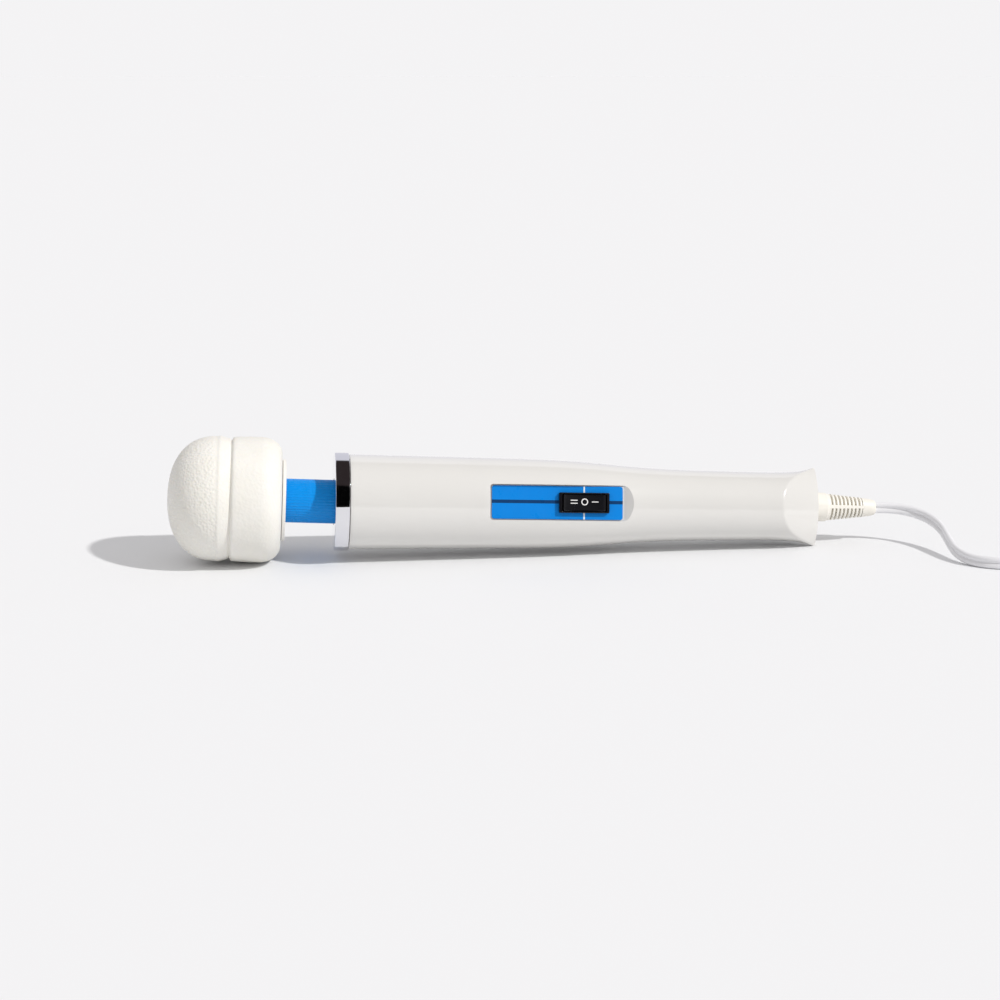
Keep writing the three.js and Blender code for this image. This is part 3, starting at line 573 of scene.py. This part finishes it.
# ------------------------------------------------------------------ handle
SHELL_FRONT, SHELL_REAR = 84.3, 311.0
SHELL_WALL = 2.2
FRONT_RADIUS, TAPER = 22.4, 0.012
WAIST_STATION, WAIST_STEP, WAIST_LENGTH = 210.0, 3.6, 12.0
FLARE, FLARE_LENGTH = 3.4, 7.0
CAVITY_REAR = 286.0
FACET_START, FACET_SLOPE, FACET_CROWN = 291.0, math.radians(25.6), 31.0
RECESS_SPAN = (149.1, 213.6)
RECESS_RAMP = 1.7
RECESS_HALF_HEIGHT = 8.4
RECESS_CORNER = 1.6
TRAY_WALL, TRAY_SIDE = 1.9, math.radians(60)
LEAD_HOLE = 4.4
SWITCH_HOLE = (12.2, 4.6, 0.6)  # half length, half width, corner
SCREW_POST, SCREW_BORE, SCREW_SEAT = 4.2, 3.0, 7
SCREW_PLACES = ((101.6, 12.3), (101.6, -12.3), (232, 8.6), (232, -8.6))
SEAM = 0.15
EDGE_STATION, EDGE_RINGS, EDGE_STEP = 287.2, 4, 0.3
FACET_STATION, FACET_RINGS, FACET_STEP = 288.4, 56, 0.4


def shell_radius(station):
    """The handle's outline: a slow taper, a smooth step inward past the switch and a flare at the end."""
    waist = WAIST_STEP / (1 + math.exp((WAIST_STATION - station) / WAIST_LENGTH))
    flare = FLARE * math.exp((station - SHELL_REAR) / FLARE_LENGTH)
    return FRONT_RADIUS - TAPER * (station - SHELL_FRONT) - waist + flare


def facet_radius(station, angle):
    """Where a ray from the axis meets the crowned end facet on its side."""
    reach = shell_radius(FACET_START) - math.tan(FACET_SLOPE) * (station - FACET_START)
    side, up = abs(math.cos(angle)), abs(math.sin(angle))
    low, high = 0.0, min(40.0, 0.999 * FACET_CROWN / max(up, 1e-6))
    for _ in range(26):
        radius = (low + high) / 2
        drop = (FACET_CROWN - (FACET_CROWN**2 - (radius * up) ** 2) ** 0.5) / math.cos(FACET_SLOPE)
        if radius * side + drop > reach:
            high = radius
        else:
            low = radius
    return (low + high) / 2


def outer_radius(station, angle, rounding=0.16):
    """The shell's radius, its flare cut by the end facets with a slightly rounded edge."""
    radius = shell_radius(station)
    if station < FACET_START - 3:
        return radius
    facet = facet_radius(station, angle)
    if facet > radius + 12 * rounding:
        return radius
    least = min(radius, facet)
    nearness = math.exp(-(radius - least) / rounding) + math.exp(-(facet - least) / rounding)
    return least - rounding * math.log(nearness)


def shell_stations():
    """Rings about 4 mm apart, closer at the front edge and over the end facets."""
    stations = [SHELL_FRONT, SHELL_FRONT + 0.15, SHELL_FRONT + 0.4]
    stations += [SHELL_FRONT + 1.6 + 4 * i for i in range(50)]
    stations += [EDGE_STATION + EDGE_STEP * i for i in range(EDGE_RINGS)]
    stations += [FACET_STATION + FACET_STEP * i for i in range(FACET_RINGS)]
    return stations + [SHELL_REAR]


def inner_radius(station, angle, front):
    """The inside of the wall, with a tray behind the recess and a solid end around the lead's hole."""
    if station > CAVITY_REAR:
        return LEAD_HOLE
    radius = outer_radius(station, angle) - SHELL_WALL
    behind = RECESS_SPAN[0] - 2 < station < RECESS_SPAN[1] + 10
    if front and behind and abs(angle) < TRAY_SIDE:
        radius = min(radius, (RECESS_DEPTH - TRAY_WALL) / math.cos(angle))
    return radius


def shell_half(front, columns=120):
    """One half of the handle as closed rings: round the outside, then back along the inside."""
    middle = 0 if front else math.pi
    rings = []
    for station in shell_stations():
        ring = []
        for inside in (False, True):
            for k in range(columns + 1):
                turn = -0.5 + k / columns
                if inside:
                    turn = -turn
                angle = middle + math.pi * turn
                local = angle if front else angle - math.pi
                if inside:
                    radius = inner_radius(station, local, front)
                else:
                    radius = outer_radius(station, angle)
                    if station < SHELL_FRONT + 0.1:
                        radius -= 0.3
                    elif station < SHELL_FRONT + 0.3:
                        radius -= 0.08
                y, z = -radius * math.cos(angle), radius * math.sin(angle)
                y = min(y, -SEAM) if front else max(y, SEAM)
                ring.append((station, y, z))
        rings.append(ring)
    return loft(rings)


def recess_cutter():
    """The pocket's space: a rounded rectangle, steep at the head end and ramped at the lead end."""
    start, stop = (s - SWITCH_STATION for s in RECESS_SPAN)
    height = 10
    rings = []
    for z in (0, height):
        grow = z * RECESS_RAMP
        loop = rounded_loop((stop - start) / 2, RECESS_HALF_HEIGHT, RECESS_CORNER, z)
        rings.append([(x + (start + stop) / 2 + (grow if x > 0 else 0), y, z) for x, y, _ in loop])
    return loft(rings)


def make_shells():
    """Both halves, the front one with its pocket and switch hole, the rear one with its screw posts."""
    points, faces = shell_half(front=True)
    front = solid("front_work", points, faces, HANDLE)
    front = boolean(front, solid("pocket", *recess_cutter(), RECESS), "DIFFERENCE")
    slot_rings = [rounded_loop(*SWITCH_HOLE, z) for z in (-8, 2)]
    front = boolean(front, solid("slot", *loft(slot_rings), RECESS), "DIFFERENCE")
    finish_shell(front, "handle_front_shell", "front_shell")

    points, faces = shell_half(front=False)
    rear = solid("rear_work", points, faces, HANDLE)
    stations = [s for s in shell_stations() if s < CAVITY_REAR][::2]
    profile = [(SHELL_FRONT, 0.02)] + [(s, shell_radius(s) - SHELL_WALL / 2) for s in stations]
    profile += [(stations[-1], 0.02)]
    posts = solid("posts", *rods(SCREW_PLACES, SCREW_POST, SEAM, 40), HANDLE)
    posts = boolean(posts, solid("within", *lathe(profile, 96), HANDLE), "INTERSECT")
    rear = boolean(rear, posts, "UNION")
    bores = solid("bores", *rods(SCREW_PLACES, SCREW_BORE, SCREW_SEAT, 40), HANDLE)
    rear = boolean(rear, bores, "DIFFERENCE")
    finish_shell(rear, "handle_rear_shell", "rear_shell")


def finish_shell(obj, name, node):
    """A boolean's result as a piece on the handle."""
    obj.name = name
    obj.data.name = name
    obj.data.shade_smooth()
    obj.data.set_sharp_from_angle(angle=math.radians(28))
    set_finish(obj, "shell")
    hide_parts(node)
    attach(obj, "handle")


# ------------------------------------------------------------------ label and switch
LABEL = {"from": 150.2, "to": 212.7, "half": 7.85, "low": 0.3, "high": 0.8, "corner": 1.2}
LABEL_HOLE = (11.7, 4.55, 0.4)
BEZEL_TOP = 3.0
BEZEL_WELL = (10.6, 4.15)
ROCKER_HALF, ROCKER_WIDE = 10.0, 3.85
ROCKER_BASE, ROCKER_TOP, ROCKER_WING = -1.2, 2.6, 0.95
ROCKER_EDGE = ((0.28, 0), (0.09, 0.19), (0, 0.28))  # how far the outline shrinks, and how far in that is
MARK_BARS = (((-5.0, 1.15), 1.7, 0.2), ((-5.0, -0.25), 1.7, 0.2), ((5.05, 0.45), 1.55, 0.21))
MARK_RING, MARK_RADII = (0.1, 0.45), (1.62, 1.16)


def make_label():
    """A thin plate with a hole for the switch. Its UV map is its own face in millimetres from the switch."""
    middle = (LABEL["from"] + LABEL["to"]) / 2 - SWITCH_STATION
    half = (LABEL["to"] - LABEL["from"]) / 2
    rings = []
    for grow, z in ((0, LABEL["low"]), (0, LABEL["high"] - 0.12), (-0.12, LABEL["high"])):
        loop = rounded_loop(half + grow, LABEL["half"] + grow, LABEL["corner"], z)
        rings.append([(x + middle, y, z) for x, y, _ in loop])
    for z in (LABEL["high"], LABEL["low"]):
        rings.append(rounded_loop(*LABEL_HOLE, z))
    points, faces = loft(rings, closed=True)
    label = piece("label_panel", points, faces, RECESS, "handle", "label", "label_plate")
    to_face = RECESS.inverted()
    layer = label.data.uv_layers.new(name="face_mm")
    for loop in label.data.loops:
        place = to_face @ label.data.vertices[loop.vertex_index].co
        layer.data[loop.index].uv = (place.x, place.y)


def make_housing():
    """The switch's housing: a body below the label, a flange over it and a well for the key."""
    well_x, well_y = BEZEL_WELL
    # Half length, half width and height, up the outside and then down into the well.
    steps = (
        (11.4, 4.4, -11.0), (11.4, 4.4, 1.1), (12.0, 4.78, 1.1), (12.0, 4.78, 2.7), (11.93, 4.71, 2.9),
        (11.75, 4.53, BEZEL_TOP), (well_x + 0.2, well_y + 0.2, BEZEL_TOP),
        (well_x + 0.05, well_y + 0.05, 2.9), (well_x, well_y, 2.7), (well_x, well_y, -3.2),
    )
    rings = [rounded_loop(x, y, 0.5, z) for x, y, z in steps]
    points, faces = loft(rings)
    piece("switch_housing", points, faces, RECESS, "handle", "black_plastic", "switch_body", smooth=30)


def make_key():
    """The rocking key, with rounded sides, and its marks for high, off and low."""
    samples = 24
    outline = [(-ROCKER_HALF, ROCKER_BASE), (ROCKER_HALF, ROCKER_BASE)]
    for i in range(samples + 1):
        x = ROCKER_HALF * (1 - 2 * i / samples)
        outline.append((x, rocker_top(x)))
    rings = []
    for side, edge in ((-1, ROCKER_EDGE), (1, ROCKER_EDGE[::-1])):
        for shrink, depth in edge:
            ring = []
            for x, z in outline:
                inwards = shrink if z > ROCKER_BASE else -shrink
                ring.append((x * (1 - shrink / ROCKER_HALF), side * (ROCKER_WIDE - depth), z - inwards))
            rings.append(ring)
    points, faces = loft(rings)
    piece("rocker_key", points, faces, RECESS, "rocker", "black_plastic", "switch_rocker", smooth=24)

    for i, (centre, half, thick) in enumerate(MARK_BARS):
        loop = [(x + centre[0], y + centre[1]) for x, y, _ in rounded_loop(half, thick, 0.08, 0, 2)]
        mark("rocker_mark_%d" % (i + 1), [loop])
    circle = [(math.cos(2 * math.pi * k / 40), math.sin(2 * math.pi * k / 40)) for k in range(40)]
    outer, inner = ([(MARK_RING[0] + r * x, MARK_RING[1] + r * y) for x, y in circle] for r in MARK_RADII)
    mark("rocker_mark_off", [outer, inner])


def rocker_top(x):
    """The key's top dips in the middle and rises to a lip at each end."""
    return ROCKER_TOP + ROCKER_WING * (abs(x) / ROCKER_HALF) ** 1.7


def mark(name, loops):
    """A thin raised mark that follows the key's top: a filled outline, or the band between two."""
    proud, sunk = 0.08, 0.12
    rings = [[(x, y, rocker_top(x) + h) for x, y in loops[0]] for h in (-sunk, proud)]
    if len(loops) > 1:
        rings += [[(x, y, rocker_top(x) + h) for x, y in loops[1]] for h in (proud, -sunk)]
    points, faces = loft(rings, closed=len(loops) > 1)
    piece(name, points, faces, RECESS, "rocker", "wire_white")


# ------------------------------------------------------------------ strain relief
RELIEF_SLOTS, RELIEF_PITCH, SLOT_WIDTH = 9, 2.0, 1.0
COLLAR_END = SHELL_REAR + 5.3
RELIEF_END = SHELL_REAR + 30
COLLAR_RADIUS, COLLAR_BEVEL = 7.0, 0.3
RELIEF_TAPER = (
    (COLLAR_END + 0.5, 6.55),
    (RELIEF_END - 6.5, 4.7),
    (RELIEF_END - 2, 4.1),
    (RELIEF_END - 0.4, 3.6),
    (RELIEF_END, 3.2),
)
RELIEF_TANG_START, RELIEF_TANG_RADIUS = 304.2, 4.0
SLOT_DEPTH, SLOT_LIP, SLOT_LIP_LENGTH = 1.9, 0.08, 0.06
SPINE = math.radians(8)


def relief_radius(station):
    """The relief's outside, without its slots."""
    if station <= COLLAR_END:
        return COLLAR_RADIUS - COLLAR_BEVEL * smooth_step((station - COLLAR_END + 0.5) / 0.5)
    for (s0, r0), (s1, r1) in zip(RELIEF_TAPER, RELIEF_TAPER[1:]):
        if station <= s1:
            return r0 + (r1 - r0) * max(0, station - s0) / (s1 - s0)
    return RELIEF_TAPER[-1][1]


def make_relief():
    """A tapered sleeve cut by slots that leave a spine on either side."""
    seat = SHELL_REAR - 0.3
    stations = [(RELIEF_TANG_START, None), (seat, None), (seat, False), (SHELL_REAR + 2.6, False)]
    stations += [(COLLAR_END + d, False) for d in (-0.5, -0.2, 0, 0.5)]
    for i in range(RELIEF_SLOTS):
        start = COLLAR_END + 1.4 + i * RELIEF_PITCH
        stop = start + SLOT_WIDTH
        stations += [(start - SLOT_LIP_LENGTH, False), (start, "lip"), (start, True)]
        stations += [(stop, True), (stop, "lip"), (stop + SLOT_LIP_LENGTH, False)]
    stations += [(RELIEF_END - d, False) for d in (7.0, 6.5, 5, 3.5, 2, 1.2, 0.4, 0.1, 0)]
    sides = []
    steps, gap = 40, 1e-3
    for base in (0, math.pi):
        sides += [(base - SPINE, True), (base + SPINE, True)]
        sweep_angle = math.pi - 2 * SPINE - 2 * gap
        sides += [(base + SPINE + gap + sweep_angle * k / steps, False) for k in range(steps + 1)]
    rings = []
    for station, cut in stations:
        ring = []
        for angle, on_spine in sides:
            radius = RELIEF_TANG_RADIUS if cut is None else relief_radius(station)
            if cut is True and not on_spine:
                radius -= SLOT_DEPTH
            elif cut == "lip" and not on_spine:
                radius -= SLOT_LIP
            ring.append((station, -radius * math.cos(angle), radius * math.sin(angle)))
        rings.append(ring)
    points, faces = loft(rings)
    piece("lead_relief", points, faces, HANDLE, "handle", "relief", "strain_relief", smooth=32)


# ------------------------------------------------------------------ materials
DOME_SKIN_FADES = (-0.1485, -0.1465)  # metres along X, where the dome meets the cap's side


def new_material(name, colour, roughness, metallic=0.0):
    """A new node material and its shader."""
    material = bpy.data.materials.new(name)
    material.use_nodes = True
    shader = material.node_tree.nodes["Principled BSDF"]
    shader.inputs["Base Color"].default_value = (*colour, 1)
    shader.inputs["Roughness"].default_value = roughness
    shader.inputs["Metallic"].default_value = metallic
    return material, shader


def noise(tree, scale, detail=3.0, stretch=None):
    """A noise texture in metres of the piece's own place, drawn out along an axis if asked."""
    place = tree.nodes.new("ShaderNodeTexCoord").outputs["Object"]
    if stretch:
        mapping = tree.nodes.new("ShaderNodeMapping")
        mapping.inputs["Scale"].default_value = stretch
        tree.links.new(place, mapping.inputs["Vector"])
        place = mapping.outputs["Vector"]
    texture = tree.nodes.new("ShaderNodeTexNoise")
    texture.inputs["Scale"].default_value = scale
    texture.inputs["Detail"].default_value = detail
    tree.links.new(place, texture.inputs["Vector"])
    return texture.outputs["Fac"]


def spread(tree, value, low, high, from_low=0.3, from_high=0.7):
    """A value's range taken to another, from low to high."""
    node = tree.nodes.new("ShaderNodeMapRange")
    for key, number in (("From Min", from_low), ("From Max", from_high), ("To Min", low), ("To Max", high)):
        node.inputs[key].default_value = number
    tree.links.new(value, node.inputs["Value"])
    return node.outputs["Result"]


def mixed(tree, amount, first, second):
    """A colour between two, each a colour or another node's output."""
    node = tree.nodes.new("ShaderNodeMix")
    node.data_type = "RGBA"
    tree.links.new(amount, node.inputs["Factor"])
    for key, value in (("A", first), ("B", second)):
        socket = [i for i in node.inputs if i.name == key and i.type == "RGBA"][0]
        if isinstance(value, bpy.types.NodeSocket):
            tree.links.new(value, socket)
        else:
            socket.default_value = (*value, 1)
    return [o for o in node.outputs if o.type == "RGBA"][0]


def bump(tree, shader, heights):
    """Bumps one over another: each a height output, its distance in metres and its strength."""
    last = None
    for height, distance, strength in heights:
        node = tree.nodes.new("ShaderNodeBump")
        node.inputs["Distance"].default_value = distance
        node.inputs["Strength"].default_value = strength
        tree.links.new(height, node.inputs["Height"])
        if last:
            tree.links.new(last, node.inputs["Normal"])
        last = node.outputs["Normal"]
    tree.links.new(last, shader.inputs["Normal"])


def moulded(
    name,
    colour,
    roughness,
    tint=0.03,
    vary=0.06,
    grain=(900, 0.00002, 0.3),
    metallic=0.0,
    coat=0.0,
    stretch=None,
    specular=0.5,
    wear=0.25,
):
    """A moulded or finished surface: faint mottling, uneven gloss, a fine grain and lighter worn edges.
    The grain is its scale, its height in metres and its strength."""
    material, shader = new_material(name, colour, roughness, metallic)
    tree = material.node_tree
    dark = tuple(c * (1 - tint) for c in colour)
    light = tuple(min(1, c * (1 + tint)) for c in colour)
    shade = spread(tree, noise(tree, 45, 4), 0, 1)
    worn = tuple(min(1, c * 1.2 + 0.01) for c in colour)
    points = tree.nodes.new("ShaderNodeNewGeometry").outputs["Pointiness"]
    edges = spread(tree, points, 0, wear, 0.52, 0.6)
    tinted = mixed(tree, edges, mixed(tree, shade, dark, light), worn)
    tree.links.new(tinted, shader.inputs["Base Color"])
    gloss = spread(tree, noise(tree, 70, 5, stretch), max(0.02, roughness - vary), roughness + vary)
    tree.links.new(gloss, shader.inputs["Roughness"])
    scale, distance, strength = grain
    bump(tree, shader, [(noise(tree, scale, 2, stretch), distance, strength)])
    shader.inputs["Specular IOR Level"].default_value = specular
    shader.inputs["Coat Weight"].default_value = coat
    shader.inputs["Coat Roughness"].default_value = 0.08
    return material


def cap_material():
    """Soft cream vinyl with a pebbled skin, deepest on the dome."""
    material, shader = new_material("soft_cap", (0.84, 0.82, 0.765), 0.6)
    tree = material.node_tree
    shade = spread(tree, noise(tree, 60, 5), 0, 1)
    cream = mixed(tree, shade, (0.80, 0.785, 0.725), (0.845, 0.83, 0.785))
    tree.links.new(cream, shader.inputs["Base Color"])
    tree.links.new(spread(tree, noise(tree, 300, 3), 0.5, 0.68), shader.inputs["Roughness"])
    place = tree.nodes.new("ShaderNodeTexCoord").outputs["Object"]
    cells = tree.nodes.new("ShaderNodeTexVoronoi")
    cells.feature = "SMOOTH_F1"
    cells.inputs["Scale"].default_value = 780
    cells.inputs["Smoothness"].default_value = 0.6
    tree.links.new(place, cells.inputs["Vector"])
    split = tree.nodes.new("ShaderNodeSeparateXYZ")
    tree.links.new(place, split.inputs["Vector"])
    deep = tree.nodes.new("ShaderNodeMath")
    deep.operation = "MULTIPLY"
    tree.links.new(cells.outputs["Distance"], deep.inputs[0])
    tree.links.new(spread(tree, split.outputs["X"], 1, 0.3, *DOME_SKIN_FADES), deep.inputs[1])
    skin = [
        (noise(tree, 420, 3), 0.0002, 0.7),
        (deep.outputs[0], 0.00034, 0.85),
        (noise(tree, 2500, 2), 0.00003, 0.4),
    ]
    bump(tree, shader, skin)
    shader.inputs["Subsurface Weight"].default_value = 0.08
    shader.inputs["Subsurface Radius"].default_value = (0.002, 0.0015, 0.001)
    return material


def label_material():
    """Printed blue, with a navy band along the middle and a thin white line across at the switch."""
    material, shader = new_material("label", (0.0, 0.235, 0.76), 0.3)
    tree = material.node_tree
    uv = tree.nodes.new("ShaderNodeUVMap")
    uv.uv_map = "face_mm"
    split = tree.nodes.new("ShaderNodeSeparateXYZ")
    tree.links.new(uv.outputs["UV"], split.inputs["Vector"])

    def band(output, centre, half):
        """One within a band of the face and nought outside it."""
        away = tree.nodes.new("ShaderNodeMath")
        away.operation = "SUBTRACT"
        away.inputs[1].default_value = centre
        tree.links.new(output, away.inputs[0])
        size = tree.nodes.new("ShaderNodeMath")
        size.operation = "ABSOLUTE"
        tree.links.new(away.outputs[0], size.inputs[0])
        return spread(tree, size.outputs[0], 1, 0, half - 0.04, half + 0.04)

    ink = spread(tree, noise(tree, 120, 4), 0, 1)
    blue = mixed(tree, ink, (0.0, 0.217, 0.69), (0.0, 0.222, 0.70))
    striped = mixed(tree, band(split.outputs["Y"], 0.35, 0.8), blue, (0.004, 0.045, 0.15))
    printed = mixed(tree, band(split.outputs["X"], 0.2, 0.36), striped, (0.8, 0.88, 0.93))
    tree.links.new(printed, shader.inputs["Base Color"])
    tree.links.new(spread(tree, noise(tree, 200, 4), 0.26, 0.36), shader.inputs["Roughness"])
    shader.inputs["Specular IOR Level"].default_value = 0.25
    bump(tree, shader, [(noise(tree, 1500, 2), 0.00001, 0.3)])
    return material


MATERIALS = {
    "soft_cap": cap_material,
    "label": label_material,
    "shell": lambda: moulded("shell", (0.73, 0.72, 0.695), 0.2, 0.008, 0.04, (420, 0.000012, 0.12), coat=0.9),
    "chrome": lambda: moulded(
        "chrome", (0.80, 0.80, 0.83), 0.05, 0.01, 0.02, (300, 0.000004, 0.1), metallic=1
    ),
    "blue_sleeve": lambda: moulded(
        "blue_sleeve", (0.0, 0.265, 0.76), 0.3, 0.04, 0.05, (700, 0.00002, 0.25), specular=0.25
    ),
    "black_plastic": lambda: moulded(
        "black_plastic", (0.004, 0.004, 0.006), 0.3, 0.2, 0.06, (1500, 0.00002, 0.25), specular=0.3, wear=0.8
    ),
    "relief": lambda: moulded("relief", (0.85, 0.82, 0.75), 0.45, 0.02, 0.06, (900, 0.00003, 0.3)),
    "cord": lambda: moulded("cord", (0.78, 0.78, 0.80), 0.3, 0.02, 0.05, (500, 0.00003, 0.2), coat=0.15),
    "core_plastic": lambda: moulded("core_plastic", (0.82, 0.80, 0.76), 0.45),
    "nylon": lambda: moulded("nylon", (0.76, 0.74, 0.66), 0.5),
    "steel": lambda: moulded(
        "steel", (0.58, 0.59, 0.61), 0.3, 0.06, 0.1, (600, 0.00002, 0.4), metallic=1, stretch=(1, 12, 12)
    ),
    "brass": lambda: moulded("brass", (0.72, 0.56, 0.26), 0.3, 0.08, 0.1, metallic=1),
    "lamination": lambda: moulded(
        "lamination", (0.36, 0.37, 0.39), 0.45, 0.1, 0.1, (200, 0.0002, 0.8), metallic=1, stretch=(12, 1, 1)
    ),
    "copper": lambda: moulded("copper", (0.62, 0.27, 0.13), 0.35, 0.12, 0.1, (220, 0.0002, 0.8), metallic=1),
    "carbon": lambda: moulded("carbon", (0.03, 0.03, 0.032), 0.75, 0.2),
    "tie": lambda: moulded("tie", (0.02, 0.02, 0.022), 0.6, 0.15, 0.08, (1200, 0.00006, 0.6)),
    "wire_black": lambda: moulded("wire_black", (0.015, 0.015, 0.017), 0.4, 0.1),
    "wire_white": lambda: moulded("wire_white", (0.80, 0.80, 0.79), 0.4),
    "wire_red": lambda: moulded("wire_red", (0.5, 0.03, 0.02), 0.4, 0.08),
}


def dress():
    """Every piece and every CAD node takes the material of its slot."""
    made = {name: build() for name, build in MATERIALS.items()}
    slots = {part["node"]: part["material_slot"] for part in frame["record"]["subparts"]}
    for obj in bpy.data.objects:
        if obj.type != "MESH" or obj.get("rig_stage"):
            continue
        name = obj.get("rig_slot") or slots.get(obj.get("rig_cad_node"))
        obj.data.materials.clear()
        obj.data.materials.append(made[name])


# ------------------------------------------------------------------ stage and light
FLOOR_COLOUR = (0.82, 0.828, 0.842)
BACKDROP = (0.906, 0.899, 0.909)  # what the lit floor shows, so that its far edge can't be seen
FILL_LOW, FILL_HIGH = (0.56, 0.547, 0.548), (0.68, 0.668, 0.672)
ROOM_ABOVE, ROOM_FRONT, ROOM_WALL = (0.03, 0.023, 0.023), (0.001, 0.001, 0.001), (0.72, 0.72, 0.78)
KEY_TRAVEL = Vector((-0.9, 0.68, -1.0))


def make_stage():
    """A wide plain floor."""
    bpy.ops.mesh.primitive_circle_add(vertices=96, radius=30, fill_type="NGON")
    floor = bpy.context.object
    floor.name = "floor"
    material, shader = new_material("floor", FLOOR_COLOUR, 0.9)
    shader.inputs["Specular IOR Level"].default_value = 0
    floor.data.materials.append(material)
    floor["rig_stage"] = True


def make_lights():
    """One hard key from the front right, and a world that fills, reflects and shows differently."""
    key = bpy.data.lights.new("key", "SUN")
    key.energy = 2.2
    key.angle = math.radians(2.2)
    key.color = (1.0, 0.985, 0.965)
    lamp = bpy.data.objects.new("key", key)
    bpy.context.scene.collection.objects.link(lamp)
    lamp.rotation_euler = KEY_TRAVEL.to_track_quat("-Z", "Y").to_euler()

    world = bpy.data.worlds.new("studio")
    bpy.context.scene.world = world
    world.use_nodes = True
    tree = world.node_tree
    background = tree.nodes["Background"]
    place = tree.nodes.new("ShaderNodeTexCoord").outputs["Generated"]
    split = tree.nodes.new("ShaderNodeSeparateXYZ")
    tree.links.new(place, split.inputs["Vector"])
    # A mirror sees a dark room towards the front and overhead, and a lit wall low at the back.
    wall = spread(tree, split.outputs["Y"], 0, 1, 0.55, 0.62)
    low_front = spread(tree, split.outputs["Y"], 1, 0, -0.66, -0.6)
    dark = mixed(tree, low_front, ROOM_ABOVE, ROOM_FRONT)
    reflected = mixed(tree, wall, dark, ROOM_WALL)
    rays = tree.nodes.new("ShaderNodeLightPath")
    height = spread(tree, split.outputs["Z"], 0, 1, 0, 1)
    fill = mixed(tree, height, FILL_LOW, FILL_HIGH)
    seen = mixed(tree, rays.outputs["Is Glossy Ray"], fill, reflected)
    shown = mixed(tree, rays.outputs["Is Camera Ray"], seen, BACKDROP)
    tree.links.new(shown, background.inputs["Color"])
    background.inputs["Strength"].default_value = 1.0
    bpy.context.scene.view_settings.view_transform = "Standard"
    bpy.context.scene.view_settings.look = "None"


# ------------------------------------------------------------------ assembly
plug_pieces = tie_and_plug() + [frame["nodes"][n] for n in ("plug_blade_1", "plug_blade_2")]
make_lead()
make_head()
make_hub()
make_neck()
make_ring()
make_shells()
make_label()
make_housing()
make_key()
make_relief()
dress()
make_stage()
make_lights()
